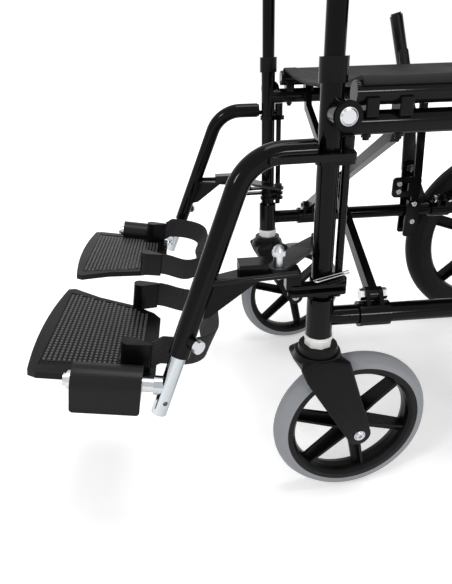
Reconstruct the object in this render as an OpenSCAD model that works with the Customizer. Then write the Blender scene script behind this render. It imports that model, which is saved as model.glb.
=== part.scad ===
// Folding transport wheelchair with swing-away footrests.
// X runs across the chair, +X to the sitter's left. The chair faces -Y. Z is up from the floor.

/* [Side frames] */
// Distance between the two side frames, tube centre to tube centre
track_w = 382; // [370:2:430]
// Outside diameter of the frame tubes
tube_d = 22.2; // [21:0.2:23.4]
// Wall thickness of the frame tubes
tube_wall = 1.5; // [1.2:0.1:1.6]
// Distance from the front posts back to the push canes
frame_len = 420; // [410:5:460]
// Height of the lower rails above the floor
low_rail_z = 256; // [254:1:260]
// Height of the upper rails above the floor
top_rail_z = 462; // [458:1:470]
// Height of the top of the front posts
post_top_z = 520; // [510:5:540]
// Height of the push handles
handle_z = 925; // [880:5:960]
// Length of the straight part of each push handle
handle_len = 118; // [105:1:125]

/* [Armrests] */
// Height of the arm tube above the floor
arm_z = 705; // [700:5:740]
// How far the arms can be raised
arm_lift = 110; // [80:5:115]
// Width of the arm pads
arm_pad_w = 48; // [40:1:56]
// Height of the arm's push button above the floor
button_z = 472; // [468:1:476]

/* [Casters] */
// Diameter of the caster wheels
caster_d = 200; // [194:1:200]
// Width of the caster tyres
caster_w = 28; // [24:1:30]
// How far each caster axle trails behind its post
caster_trail = 48.4; // [44:0.2:52]
// Angle that the left caster is turned to
left_caster_turn = 6.2; // [-12:0.2:12]
// Angle that the right caster is turned to
right_caster_turn = 8.2; // [-12:0.2:12]
// Diameter of the tube that houses the caster stem
housing_d = 29.5; // [28:0.5:31]

/* [Rear wheels] */
// Diameter of the rear wheels
rear_d = 356; // [340:2:370]
// Width of the rear tyres
rear_w = 38; // [34:1:40]
// Distance from the push canes back to the rear axle
rear_back = 50; // [45:1:60]
// Distance from each side frame out to its wheel's middle
rear_out = 50; // [48:1:56]

/* [Cross braces] */
// Thickness of each brace bar, front to back
bar_t = 9.5; // [9:0.5:12]
// Depth of each brace bar
bar_h = 16; // [15.5:0.5:18]
// Distance from the front posts back to the middle of the front brace pair
brace_y = 67; // [64:1:72]
// Height of the braces' centre pivot
pivot_z = 365; // [362:1:368]

/* [Footrests] */
// Length of the footplates, front to back
plate_len = 132; // [120:1:140]
// Width of the footplates
plate_w = 195; // [180:1:196]
// Thickness of the footplates
plate_t = 8; // [7:0.5:10]
// Toe-up tilt of the footplates
plate_tilt = 9.5; // [6:0.5:12]
// Diameter of the extension tubes
ext_d = 17; // [16:0.2:17.4]
// Length of extension tube that shows below the hanger
ext_show = 69; // [67:1:80]
// Diameter of the vertical rods that the hangers turn on
rod_d = 8.5; // [8:0.1:9]

/* [Upholstery] */
// Sag of the seat sling at its middle
seat_sag = 16; // [6:1:22]
// Thickness of the seat sling
seat_t = 4; // [3:0.5:5]
// Height of the back sling
back_h = 305; // [280:5:305]

/* [Hidden] */

$fn = 48;
frame_black = [0.05, 0.05, 0.055];
satin_black = [0.1, 0.1, 0.11];
zinc = [0.78, 0.8, 0.82];
tyre_grey = [0.48, 0.5, 0.53];

// Running clearance on the radius of every shaft, and the gap between parts that slide by
fit = 0.05;
gap = 0.3;

hw = track_w / 2;
tube_r = tube_d / 2;
bore_r = tube_r - tube_wall;
arm_r = bore_r - fit;
caster_r = caster_d / 2;
rear_r = rear_d / 2;
rear_axle_y = frame_len + rear_back;

// Caster housing, nut and stem, from the top down
housing_top = low_rail_z + 25;
housing_bottom = low_rail_z - 22;
nut_h = 12.6;
fork_top = housing_bottom - nut_h - 0.4;
stem_r = 6;
axle_r = 6;

// Hinge rod, and the plates stacked on it: frame lugs and hanger eyes take turns
rod_y = tube_r + rod_d / 2 + 2.65;
lug_r = 9.5;
eye_r = 6.5;
arm_bow = 20;
lug_t = 4;
low_stack_z = housing_top + 9;
high_lug_z = top_rail_z - 37;
high_eye_z = high_lug_z + 6.5 + gap;
high_eye_t = 6.5;
rod_bottom = housing_top + 0.3;
rod_top = top_rail_z - tube_r - 0.3;

// Seat rails lie in saddles on the upper rails
seat_rail_z = top_rail_z + tube_d + 4.3;
rail_front_y = 20;
rail_rear_y = frame_len - 46;
socket_y = frame_len - 24;
socket_top = post_top_z + 30;
saddle_ys = [35, brace_y, rail_front_y + rail_rear_y - brace_y, rail_front_y + rail_rear_y - 35];

// Braces: two parallel bars each, the second brace just behind the first at the front pair
foot_in = 8;
foot_z = low_rail_z + 20;
bar_gap = 2;
bar_shift = (bar_t + bar_gap) / 2;
brace_rear_y = rail_front_y + rail_rear_y - brace_y;
ear_t = 4.7;
bolt_r = 4;
head_bolt_r = 6.8;

// Hanger tube, in side coordinates: x outwards from the side frame, y back from the post
hang_z = top_rail_z - 22;
hang_start = [9, -tube_r - 6, hang_z];
hang_corner = [14, -80, hang_z];
hang_end = [46, -158, hang_z - 193];
hang_dir = (hang_end - hang_corner) / norm(hang_end - hang_corner);
hang_bend = 52;
clamp_at = hang_end - hang_dir * 20;
clamp_dir = [0.764, 0.632, -0.129];
ext_end = hang_end + hang_dir * ext_show;
ext_inside = 90;

// Footplate hinge: its axis leans up towards the toes
hinge_c = [49, -230, 221.5];
hinge_r = 19;
hinge_len = 78;
barrel_len = hinge_len - 7;
skirt = 27;
skirt_t = 5;
plate_rod_r = 8;
plate_outer_x = -20;
plate_top = -2;
plate_front = -87;
bow_r = 640;
plate_bow = 8;
tread_deep = 0.8;

// Latch on the hanger
latch_z = low_stack_z + 32;
latch_bolt = [14, -50];

// Push button
button_y = 6;
button_r = 8;
button_travel = 5;
boss_r = 12.5;
boss_rim = 1;
boss_face = 35;

// Brake: its pivot ahead of the tyre and above the axle, and the shoe bar's place from the pivot
brake_ahead = 30;
brake_rise = 152;
brake_y = rear_axle_y - rear_r - brake_ahead;
brake_z = rear_r + brake_rise;
shoe = [33, -66];
shoe_r = 7;
lever_x = tube_r + 4.4;
lever_t = 4;

// Caster fork legs
leg_in = caster_w / 2 + 2.6;
leg_t = 13;

// The middle of the chair, front to back, measured from the posts
front_reach = -hinge_c[1] + (plate_bow - plate_front) * cos(plate_tilt)
            + (plate_t - plate_top) * sin(plate_tilt);
mid_y = (rear_axle_y + rear_r - front_reach) / 2;

// Places a child drawn in side coordinates: s is 1 for the left side and -1 for the right
module at_side(s) {
    mirror([s < 0 ? 1 : 0, 0, 0]) translate([hw, -mid_y, 0]) children();
}

module at_middle() {
    translate([0, -mid_y, 0]) children();
}

// Straight round bar between two points
module rod_between(a, b, r) {
    v = b - a;
    len = norm(v);
    translate(a) rotate([0, acos(v[2] / len), atan2(v[1], v[0])]) cylinder(h = len, r = r);
}

// Straight lengths run this far into a bend, and not past the bar's own ends
function lap(i, end) = i == end ? 0 : 0.4;

// Round bar along points, with a bend of one radius at each inner point.
// The bends are a hair thicker than the straight lengths that run into them
module bent_rod(pts, r, bend) {
    n = len(pts);
    dirs = [for (i = [0 : n - 2]) (pts[i + 1] - pts[i]) / norm(pts[i + 1] - pts[i])];
    turns = [for (i = [1 : n - 2]) acos(dirs[i - 1] * dirs[i])];
    cut = [for (i = [0 : n - 1]) (i == 0 || i == n - 1) ? 0 : bend * tan(turns[i - 1] / 2)];
    for (i = [0 : n - 2])
        rod_between(pts[i] + dirs[i] * (cut[i] - lap(i, 0)),
                    pts[i + 1] - dirs[i] * (cut[i + 1] - lap(i + 1, n - 1)), r);
    for (i = [1 : n - 2]) {
        w = cross(dirs[i - 1], dirs[i]);
        axis = w / norm(w);
        side = cross(axis, dirs[i - 1]);
        c = pts[i] - dirs[i - 1] * cut[i] + side * bend;
        u = dirs[i - 1];
        multmatrix([[-side[0], u[0], axis[0], c[0]],
                    [-side[1], u[1], axis[1], c[1]],
                    [-side[2], u[2], axis[2], c[2]],
                    [0, 0, 0, 1]])
            rotate_extrude(angle = turns[i - 1]) translate([bend, 0]) circle(r = r + 0.02);
    }
}

// Flat plate around round corners, in the XY plane. Its straight edges run a hair inside the
// corners' circles, so that they cross the circles cleanly
module corner_plate(pts, radii, t) {
    n = len(pts);
    hair = 0.03;
    edges = [for (i = [0 : n - 1])
        let (j = (i + 1) % n, v = pts[j] - pts[i],
             k = atan2(v[1], v[0]) - acos((radii[i] - radii[j]) / norm(v)), e = [cos(k), sin(k)])
        [pts[i] + (radii[i] - hair) * e, pts[j] + (radii[j] - hair) * e]];
    linear_extrude(t) polygon([for (e = edges, p = e) p]);
    for (i = [0 : n - 1]) translate([pts[i][0], pts[i][1], 0]) cylinder(h = t, r = radii[i]);
}

// Flat link with two round ends
module link(a, b, ra, rb, t) {
    corner_plate([[a[0], a[1]], [b[0], b[1]]], [ra, rb], t);
}

// Block with its four upright edges rounded, centred in X and Y
module round_block(x, y, z, r) {
    translate([-x / 2 + r, -y / 2, 0]) cube([x - 2 * r, y, z]);
    translate([-x / 2, -y / 2 + r, 0]) cube([x, y - 2 * r, z]);
    for (i = [-1, 1], j = [-1, 1])
        translate([i * (x / 2 - r), j * (y / 2 - r), 0]) cylinder(h = z, r = r, $fn = 24);
}

// Turns a part drawn along Z so that it lies along X, or along Y
module along_x() { rotate([0, 90, 0]) children(); }
module along_y() { rotate([-90, 0, 0]) children(); }

// Hexagon bolt head, standing up from z = 0
module hex_head(r, h) {
    cylinder(h = h, r = r, $fn = 6);
}

// Front post: tube, caster housing, the lugs of the hinge rod and the button boss
module front_post(s) {
    color(frame_black) at_side(s) difference() {
        union() {
            translate([0, 0, housing_top - 1]) cylinder(h = post_top_z - housing_top + 1, r = tube_r);
            translate([0, 0, housing_bottom]) cylinder(h = housing_top - housing_bottom, d = housing_d);
            translate([0, 0, housing_top]) cylinder(h = 3, r1 = housing_d / 2 - 0.5, r2 = tube_r + 0.2);
            translate([0, 0, post_top_z - 22]) cylinder(h = 22, r = tube_r + 2.4);
            for (z = [low_stack_z, low_stack_z + 2 * (lug_t + gap)])
                translate([0, 0, z]) link([0, 0], [0, rod_y], tube_r + 2, lug_r, lug_t);
            translate([0, 0, high_lug_z]) link([0, 0], [0, rod_y], tube_r + 2, lug_r, 6.5);
            translate([0, button_y, button_z]) along_x() cylinder(h = boss_face, r = boss_r);
            translate([6, button_y, button_z]) along_x() cylinder(h = boss_face - 8, r = boss_r + boss_rim);
        }
        translate([0, 0, post_top_z - arm_lift - 30]) cylinder(h = post_top_z, r = bore_r);
        translate([0, 0, housing_bottom - 1]) cylinder(h = 44, r = stem_r + fit);
        translate([0, rod_y, housing_top - 5])
            cylinder(h = high_lug_z - housing_top + 20, r = rod_d / 2 + fit);
        translate([boss_face - 9, button_y, button_z]) along_x() cylinder(h = 20, r = button_r + fit);
        translate([0, button_y, button_z]) along_x() cylinder(h = boss_face, r = 4 + fit);
    }
}

// Lower rail with the clamps that hold the braces' feet
module low_rail(s) {
    ys = [brace_y - s * bar_shift, brace_rear_y + s * bar_shift];
    color(frame_black) at_side(s) difference() {
        union() {
            translate([0, 5, low_rail_z]) along_y() cylinder(h = frame_len - 9, r = tube_r);
            for (y = ys) {
                translate([0, y - 14, low_rail_z]) along_y() cylinder(h = 31, r = tube_r + 3);
                translate([0, y - 18, low_rail_z]) along_y() cylinder(h = 4.2, r = tube_r + 3.4);
                for (e = [y - bar_t / 2 - gap - ear_t, y + bar_t / 2 + gap])
                    translate([0, e, 0]) clamp_ear();
            }
            translate([0, 309, low_rail_z]) along_y() cylinder(h = 6, r = tube_r + 0.8);
        }
        for (y = ys) {
            translate([-foot_in, y - 40, foot_z]) along_y() cylinder(h = 80, r = bolt_r + fit);
            translate([-foot_in, y - bar_t / 2 - gap, foot_z]) along_y()
                cylinder(h = bar_t + 2 * gap, r = bar_h / 2 + gap);
        }
        translate([0, 0, housing_bottom]) cylinder(h = 60, r = housing_d / 2 + fit);
        translate([0, frame_len, housing_bottom]) cylinder(h = 60, r = tube_r + fit);
    }
}

// Upright ear over the lower rail, with its bolt hole cut by the rail
module clamp_ear() {
    translate([0, ear_t, 0]) rotate([90, 0, 0])
        link([0, low_rail_z], [-foot_in, foot_z], tube_r + 1, 8.5, ear_t);
}

// Upper rail with the saddles of the seat rail and the bolts that hold them
module top_rail(s) {
    color(frame_black) at_side(s) {
        difference() {
            translate([0, 0, top_rail_z]) along_y() cylinder(h = socket_y - 4, r = tube_r);
            translate([0, 0, top_rail_z - 30]) cylinder(h = 60, r = tube_r + 0.1);
            translate([0, socket_y, top_rail_z - 30]) cylinder(h = 60, r = tube_r + 0.1);
            translate([-0.1, button_y, button_z]) along_x()
                cylinder(h = boss_face, r = boss_r + boss_rim + 0.1);
        }
        for (y = saddle_ys) translate([0, y, 0]) saddle();
    }
}

module saddle() {
    difference() {
        translate([2, 0, top_rail_z + 6]) round_block(tube_d + 1, 13, seat_rail_z - top_rail_z - 10, 2);
        translate([0, -10, top_rail_z]) along_y() cylinder(h = 20, r = tube_r - 0.2);
        translate([0, -10, seat_rail_z]) along_y() cylinder(h = 20, r = tube_r + gap);
    }
    translate([0, 0, top_rail_z - tube_r - 5]) cylinder(h = 8, r = 3.2);
    translate([0, 0, top_rail_z - tube_r - 2.6]) cylinder(h = 4, r = 4.8, $fn = 6);
}

// Push cane: upright with its handle, the arm's rear socket and the axle plate
module cane(s) {
    cane_bottom = low_rail_z - 16;
    color(frame_black) at_side(s) difference() {
        union() {
            bent_rod([[0, frame_len, cane_bottom], [0, frame_len, handle_z],
                      [0, frame_len + 55 + handle_len, handle_z]], tube_r, 55);
            translate([0, socket_y, top_rail_z - 34]) cylinder(h = socket_top - top_rail_z + 34, r = tube_r);
            translate([0, socket_y, socket_top - 18]) cylinder(h = 18, r = tube_r + 2.2);
            for (z = [top_rail_z - 30, socket_top - 40])
                translate([-3, socket_y, z]) cube([6, frame_len - socket_y, 16]);
            axle_plate();
        }
        translate([0, socket_y, top_rail_z - 60]) cylinder(h = 200, r = bore_r);
        translate([0, rear_axle_y, rear_r]) along_x() cylinder(h = 60, r = axle_r + fit, center = true);
    }
}

// Plate that carries the rear axle behind the foot of the cane
module axle_plate() {
    translate([tube_r + 0.1, 0, 0]) rotate([90, 0, 90])
        corner_plate([[frame_len - 44, low_rail_z], [rear_axle_y, rear_r], [frame_len, low_rail_z + 60]],
                     [12, 24, 12], 6);
    translate([6, frame_len - 8, low_rail_z + tube_r + 1]) cube([6, 16, 44]);
    translate([tube_r + 0.1, rear_axle_y, rear_r]) along_x() cylinder(h = rear_out - 26 - tube_r, r = 15);
}

// Flat strut between the rails, with the brake's window plate and the clamp on the lower rail
module strut(s) {
    inner = -tube_r - 4;
    color(frame_black) at_side(s) difference() {
        union() {
            translate([inner, 0, 0]) rotate([90, 0, 90]) linear_extrude(3.7)
                polygon([[brake_y - 10, top_rail_z + 4], [brake_y + 4, top_rail_z + 4],
                         [brake_y + 12, brake_z - 8], [brake_y + 10, low_rail_z + 8],
                         [brake_y - 2, low_rail_z + 8], [brake_y - 2, brake_z - 8]]);
            translate([inner, 0, 0]) rotate([90, 0, 90]) strut_window();
            translate([inner, brake_y + 4, low_rail_z + 4]) rotate([90, 0, 90]) rotate(0)
                translate([0, -20, 0]) round_block(26, 62, 3.7, 4);
            translate([tube_r + 0.3, brake_y + 4, low_rail_z + 4]) rotate([90, 0, 90])
                translate([0, -20, 0]) round_block(26, 62, 3.7, 4);
            translate([-tube_r - 0.4, brake_y - 4, low_rail_z - tube_r - 17]) cube([tube_d + 0.8, 16, 12]);
            translate([-tube_r - 0.4, brake_y - 4, low_rail_z + tube_r + 0.4]) cube([tube_d + 0.8, 16, 8]);
            brake_bracket();
        }
        translate([0, brake_y, brake_z]) along_x() cylinder(h = 80, r = 4 + fit);
    }
}

module strut_window() {
    difference() {
        translate([brake_y - 13, brake_z - 28, 0]) round_block(52, 36, 3.7, 7);
        translate([brake_y - 17, brake_z - 28, -1]) round_block(14, 15, 6, 1.5);
    }
}

// Outer bracket that carries the brake's pivot, bolted to the rail's clamp
module brake_bracket() {
    translate([tube_r + 0.3, 0, 0]) rotate([90, 0, 90])
        link([brake_y, brake_z], [brake_y + 4, low_rail_z], 14, 13, 3.7);
}

// Rod that the hanger turns on, with the cap above the hanger's eye
module hinge_rod(s) {
    color(frame_black) at_side(s) {
        translate([0, rod_y, rod_bottom]) cylinder(h = rod_top - rod_bottom, r = rod_d / 2);
        translate([0, rod_y, high_eye_z + high_eye_t + gap])
            cylinder(h = rod_top - high_eye_z - high_eye_t - gap, r = 6.4);
    }
}

// Zinc-plated fasteners of one side frame: brace bolts, clamp screws, axle and spring clip
module hardware(s) {
    ys = [brace_y - s * bar_shift, brace_rear_y + s * bar_shift];
    reach = bar_t / 2 + gap + ear_t;
    pin_end = lever_x + lever_t + gap;
    color(zinc) at_side(s) {
        for (y = ys) {
            translate([-foot_in, y - reach - 4, foot_z]) along_y() cylinder(h = 2 * reach + 10, r = bolt_r);
            translate([-foot_in, y - reach - 5, foot_z]) along_y() hex_head(head_bolt_r, 5);
            translate([-foot_in, y + reach, foot_z]) along_y() hex_head(head_bolt_r, 6);
        }
        for (p = [[brake_y - 28, brake_z - 21], [brake_y - 28, brake_z - 35],
                  [brake_y + 4, low_rail_z + 15], [brake_y + 4, low_rail_z - 18]])
            translate([-tube_r - 4, p[0], p[1]]) rotate([0, -90, 0]) screw_head();
        translate([tube_r, rear_axle_y, rear_r]) along_x()
            cylinder(h = rear_out + 24 - tube_r + 6, r = axle_r);
        translate([tube_r, rear_axle_y, rear_r]) rotate([0, -90, 0]) hex_head(10, 7);
        translate([tube_r + 0.3, brake_y, brake_z]) along_x() cylinder(h = pin_end - tube_r, r = 4);
        translate([pin_end, brake_y, brake_z]) along_x() cylinder(h = 3.2, r1 = 7.5, r2 = 6);
        translate([tube_r + 0.2, brake_y, brake_z]) rotate([0, -90, 0]) cylinder(h = 2.5, r = 7);
        translate([rear_out + 24 + 0.5, rear_axle_y, rear_r]) along_x() {
            cylinder(h = 2, r = 11);
            hex_head(9.5, 9);
        }
        spring_clip();
    }
}

module screw_head() {
    difference() {
        cylinder(h = 3, r1 = 5.2, r2 = 4.2, $fn = 32);
        translate([0, 0, 1.4]) cylinder(h = 3, r = 2.2, $fn = 6);
    }
}

// Spring clip through the hinge rod above the lower stack of plates
module spring_clip() {
    wire = 0.9;
    turn = 2.5;
    x = rod_d / 2 + wire + 0.05;
    translate([0, rod_y, low_stack_z + 4 * (lug_t + gap) + 3]) rotate(25) translate([x, -36, 0]) {
        along_y() cylinder(h = 46, r = wire);
        translate([2 * turn, 0, 0]) along_y() cylinder(h = 42, r = wire);
        translate([turn, 0, 0]) rotate(180) rotate_extrude(angle = 180)
            translate([turn, 0]) circle(r = wire);
    }
}

// Rubber grip on the push handle
module grip(s) {
    top = [0, frame_len + 55 + handle_len, handle_z];
    u = [0, -1, 0];
    color("dimgray") at_side(s) difference() {
        union() {
            rod_between(top - u * 5, top + u * (handle_len - 12), tube_r + 4.4);
            for (k = [6 : 12 : handle_len - 24]) rod_between(top + u * k, top + u * (k + 7), tube_r + 5.6);
            rod_between(top - u * 7, top - u * 2, tube_r + 6.5);
        }
        rod_between(top - u * fit, top + u * handle_len, tube_r + fit);
    }
}

// White bearing nut under the caster housing
module caster_nut(s) {
    color("whitesmoke") at_side(s) difference() {
        union() {
            translate([0, 0, housing_bottom - 4])
                cylinder(h = 4, r1 = housing_d / 2 + 1.4, r2 = housing_d / 2 + 0.8);
            translate([0, 0, housing_bottom - nut_h])
                cylinder(h = nut_h - 4, r = housing_d / 2 + 1, $fn = 8);
        }
        translate([0, 0, housing_bottom - nut_h - 1]) cylinder(h = nut_h + 2, r = stem_r + 0.4);
    }
}

module at_caster(s, turn) {
    at_side(s) rotate(s * turn) children();
}

// Moulded caster fork with its stem
module caster_fork(s, turn) {
    axle_z = caster_r;
    crown_z = fork_top - 9;
    color(satin_black) at_caster(s, turn) difference() {
        union() {
            translate([0, 0, fork_top - 1]) cylinder(h = 40 + nut_h, r = stem_r);
            translate([0, 0, crown_z]) cylinder(h = 9, r1 = 23.5, r2 = 22);
            translate([0, 0, crown_z - 7]) cylinder(h = 8, r1 = 28.5, r2 = 26);
            for (k = [-1, 1]) hull() {
                translate([k * (leg_in + leg_t - 3), 1, crown_z - 8]) sphere(r = 3, $fn = 20);
                translate([k * (leg_in + leg_t - 6), -22, crown_z - 10]) sphere(r = 5, $fn = 20);
                translate([k * (leg_in + leg_t - 6), 27, crown_z - 10]) sphere(r = 5, $fn = 20);
                translate([k * (leg_in + leg_t - 2.5), -18, crown_z - 26]) sphere(r = 2.5, $fn = 20);
                translate([k * (leg_in + leg_t - 2.5), 34, crown_z - 30]) sphere(r = 2.5, $fn = 20);
                translate([k * (leg_in + leg_t / 2), caster_trail, axle_z]) along_x()
                    cylinder(h = leg_t, r = 15, center = true, $fn = 32);
                translate([k * 8, 0, crown_z - 5]) cylinder(h = 4, r = 20, $fn = 32);
            }
        }
        translate([0, caster_trail, axle_z]) along_x() {
            cylinder(h = 2 * leg_in, r = caster_r + 5, center = true, $fn = 96);
            cylinder(h = 100, r = axle_r + fit, center = true);
        }
    }
}

// Axle bolt of the caster, with a washer and a head on each side
module caster_axle(s, turn) {
    half = leg_in + leg_t;
    color(zinc) at_caster(s, turn) translate([0, caster_trail, caster_r]) along_x() {
        cylinder(h = 2 * half, r = axle_r, center = true);
        for (k = [0, 1]) mirror([0, 0, k]) translate([0, 0, half]) difference() {
            union() {
                cylinder(h = 1.6, r = 7);
                cylinder(h = 3.4, r1 = 6.4, r2 = 5);
            }
            translate([0, 0, 1.8]) cylinder(h = 3, r = 2.6, $fn = 6);
        }
    }
}

// Caster rim: a curved barrel, six ribbed spokes and a hub
module caster_rim(s, turn) {
    h = caster_w / 2;
    r_seat = caster_r - 14.4;
    color(satin_black) at_caster(s, turn) translate([0, caster_trail, caster_r]) along_x()
        wheel_body(h, r_seat, 12, 16, 12.5, axle_r, 6);
}

// Wheel body about Z: barrel of half width h that seats a tyre at r_seat, spokes and a bored hub
module wheel_body(h, r_seat, deep, hub_r, spoke_w, bore, count) {
    difference() {
        union() {
            rotate_extrude($fn = 96) polygon([[r_seat, -h], [r_seat - deep * 0.55, -h],
                [r_seat - deep * 0.85, -h * 0.7], [r_seat - deep, -h * 0.3], [r_seat - deep, h * 0.3],
                [r_seat - deep * 0.85, h * 0.7], [r_seat - deep * 0.55, h], [r_seat, h]]);
            cylinder(h = 2 * h + 2, r = hub_r, center = true);
            for (i = [0 : count - 1]) rotate(i * 360 / count + 12) {
                translate([hub_r - 2, -spoke_w / 2, -2.2])
                    cube([r_seat - deep - hub_r + 3, spoke_w, 4.4]);
                rotate([90, 0, 0]) translate([0, 0, -spoke_w / 2]) linear_extrude(3.2)
                    polygon([[hub_r - 2, -h * 0.9], [r_seat - deep + 1, -h * 0.62],
                             [r_seat - deep + 1, h * 0.62], [hub_r - 2, h * 0.9]]);
            }
        }
        cylinder(h = 4 * h, r = bore + fit, center = true);
    }
}

// Grey caster tyre with a flat tread and a crease along each shoulder
module caster_tyre(s, turn) {
    h = caster_w / 2;
    r_seat = caster_r - 14.4;
    color(tyre_grey) at_caster(s, turn) translate([0, caster_trail, caster_r]) along_x()
        tyre_body(h, r_seat, caster_r, 7.5, 2.6);
}

module tyre_body(h, r_seat, r_top, shoulder, drop) {
    rotate_extrude($fn = 120) polygon([[r_seat, -h], [r_top - shoulder, -h - 0.2],
        [r_top - drop, -h * 0.55], [r_top - drop * 0.25, -h * 0.3], [r_top, 0],
        [r_top - drop * 0.25, h * 0.3], [r_top - drop, h * 0.55], [r_top - shoulder, h + 0.2], [r_seat, h]]);
}

module at_rear(s) {
    at_side(s) translate([rear_out, rear_axle_y, rear_r]) along_x() children();
}

module rear_rim(s) {
    color(satin_black) at_rear(s) {
        wheel_body(rear_w / 2 - 2, rear_r - 36, 14, 24, 20, axle_r, 6);
        difference() {
            cylinder(h = 48, r = 19, center = true);
            cylinder(h = 60, r = axle_r + fit, center = true);
        }
    }
}

module rear_tyre(s) {
    h = rear_w / 2 - 2;
    color("black") at_rear(s) rotate_extrude($fn = 144) polygon([[rear_r - 36, -h],
        [rear_r - 22, -h - 2], [rear_r - 9, -h - 0.5], [rear_r - 3, -h * 0.66], [rear_r, -h * 0.25],
        [rear_r, h * 0.25], [rear_r - 3, h * 0.66], [rear_r - 9, h + 0.5], [rear_r - 22, h + 2],
        [rear_r - 36, h]]);
}

// Parking brake: hand lever, pivot and the shoe bar that presses on the tyre
module brake_lever(s) {
    grip_r = 10;
    grip_x = lever_x + grip_r - 0.6;
    color(satin_black) at_side(s) translate([0, brake_y, brake_z]) {
        translate([lever_x, 0, 0]) rotate([90, 0, 90]) difference() {
            union() {
                link([0, 0], [-10, 100], 13, 9, lever_t);
                link([-10, 100], [-34, 190], 8.7, 8, lever_t);
                link([0, 0], shoe, 12.6, 10, lever_t);
            }
            translate([0, 0, -1]) cylinder(h = lever_t + 2, r = 4 + fit);
        }
        translate([lever_x, shoe[0], shoe[1]]) along_x() cylinder(h = rear_out - tube_r + 16, r = shoe_r);
        rod_between([grip_x, -30, 174], [grip_x, -50, 245], grip_r);
        rod_between([grip_x, -49.8, 244.2], [grip_x, -50.8, 248], grip_r - 2);
    }
}

// Hanger tube: level at the post, then bent down to the footplate
module hanger_tube(s) {
    color(frame_black) at_side(s) difference() {
        union() {
            bent_rod([hang_start, hang_corner, hang_end], tube_r, hang_bend);
            translate(hang_start - [0, 1, 0]) along_y() cylinder(h = 3.5, r = tube_r - 1.2);
            rod_between(clamp_at + clamp_dir * 10, clamp_at + clamp_dir * 19, 6.5);
        }
        rod_between(hang_end - hang_dir * (ext_inside + 30), hang_end + hang_dir * 2, ext_d / 2 + fit);
    }
}

// Sheet-metal brackets of the hanger: the eyes on the rod and the arms welded to the tube
module hanger_bracket(s) {
    ez = [low_stack_z + lug_t + gap, low_stack_z + 3 * (lug_t + gap)];
    elbow = [arm_bow, rod_y - 2];
    color(frame_black) at_side(s) difference() {
        union() {
            translate([0, 0, high_eye_z]) {
                link([0, rod_y], elbow, eye_r, 5, high_eye_t);
                link(elbow, [arm_bow + 5, -58], 4.7, 4.5, high_eye_t);
            }
            for (z = ez) translate([0, 0, z]) {
                link([0, rod_y], elbow, eye_r, 5, lug_t - gap);
                link(elbow, [arm_bow, -34], 4.7, 7, lug_t - gap);
            }
            latch_plate();
        }
        translate([0, rod_y, housing_top]) cylinder(h = rod_top - housing_top, r = rod_d / 2 + fit);
        bent_rod([hang_start, hang_corner, hang_end], tube_r + fit, hang_bend);
        translate(hang_start - [0, 1.1, 0]) along_y() cylinder(h = 4, r = tube_r - 1.2 + fit);
        translate([latch_bolt[0], latch_bolt[1], latch_z - 30]) cylinder(h = 60, r = bolt_r + fit);
    }
}

// Latch plate between the tube and the lower eyes, with its edge rod and gusset
module latch_plate() {
    z_eye = low_stack_z + 3 * (lug_t + gap);
    gusset_len = 56;
    tube_at = hang_corner + hang_dir * ((hang_corner[2] - latch_z) / -hang_dir[2]);
    translate([0, 0, latch_z - 3]) linear_extrude(3)
        polygon([[tube_at[0] - 6, tube_at[1] + 4], [30, -36], [22, -28], [4, -28], [-8, -60],
                 [tube_at[0] - 14, tube_at[1] + 8]]);
    translate([12, -43.6, z_eye]) cube([13, 15.6, latch_z - z_eye - 1]);
    rod_between([tube_at[0] + 6, tube_at[1] - 2, latch_z], [28, -32, latch_z], 3.4);
    translate([tube_at[0] - 1.5, 0, 0]) rotate([90, 0, 90]) linear_extrude(3)
        polygon([[tube_at[1] + 2, latch_z - 1], [tube_at[1] + gusset_len, latch_z - 1],
                 [tube_at[1] + 3, latch_z - 40], [tube_at[1] - 8, latch_z - 42]]);
    translate([4, -92, latch_z - 0.5]) round_lid();
}

// Folded cover in front of the latch bolt
module round_lid() {
    difference() {
        cube([22, 30, 12]);
        translate([2, -1, -1]) cube([18, 29, 11]);
    }
}

// Zinc fasteners of the hanger: latch bolt with its dome nut, tube clamp bolt and stop pin
module hanger_bolts(s) {
    color(zinc) at_side(s) {
        translate([latch_bolt[0], latch_bolt[1], latch_z - 8]) cylinder(h = 26, r = bolt_r);
        translate([latch_bolt[0], latch_bolt[1], latch_z - 9]) hex_head(6.5, 5.6);
        translate([latch_bolt[0], latch_bolt[1], latch_z + 5.2]) cylinder(h = 11, r = 5.4);
        translate([latch_bolt[0], latch_bolt[1], latch_z + 16]) {
            cylinder(h = 5, r = 7.2, $fn = 6);
            translate([0, 0, 5]) cylinder(h = 3.2, r1 = 6.2, r2 = 5.2);
            translate([0, 0, 8.2]) cylinder(h = 2.4, r1 = 5.2, r2 = 2.8);
        }
        rod_between(clamp_at + clamp_dir * 19, clamp_at + clamp_dir * 23.5, 7);
    }
}

// Latch lever: flat handle on the bolt, with the nose that locks on the post's lug
module latch_lever(s) {
    color(satin_black) at_side(s) translate([0, 0, latch_z + 0.4]) difference() {
        union() {
            link([latch_bolt[0], latch_bolt[1]], [-34, -16], 11, 12, 4);
            link([-34, -16], [-62, 8], 11.6, 9, 4);
            translate([-62, 8, 0]) cylinder(h = 9, r = 6);
        }
        translate([latch_bolt[0], latch_bolt[1], -1]) cylinder(h = 8, r = bolt_r + fit);
    }
}

// Extension tube that slides in the hanger, with the eye that holds the plate's rod
module extension(s) {
    eye = hinge_axis_at(hinge_len / 2 + 5);
    tail = hinge_axis_at(hinge_len / 2 + 16);
    color(zinc) at_side(s) difference() {
        union() {
            rod_between(hang_end - hang_dir * ext_inside, ext_end, ext_d / 2);
            rod_between(eye, tail, plate_rod_r + 2.2);
        }
        rod_between(hinge_axis_at(0), hinge_axis_at(hinge_len / 2 + 12), plate_rod_r + fit);
        rod_between(ext_end - hang_dir * 16 + [-20, -6, 0], ext_end - hang_dir * 16 + [20, 6, 0], 2.6);
    }
}

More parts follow.
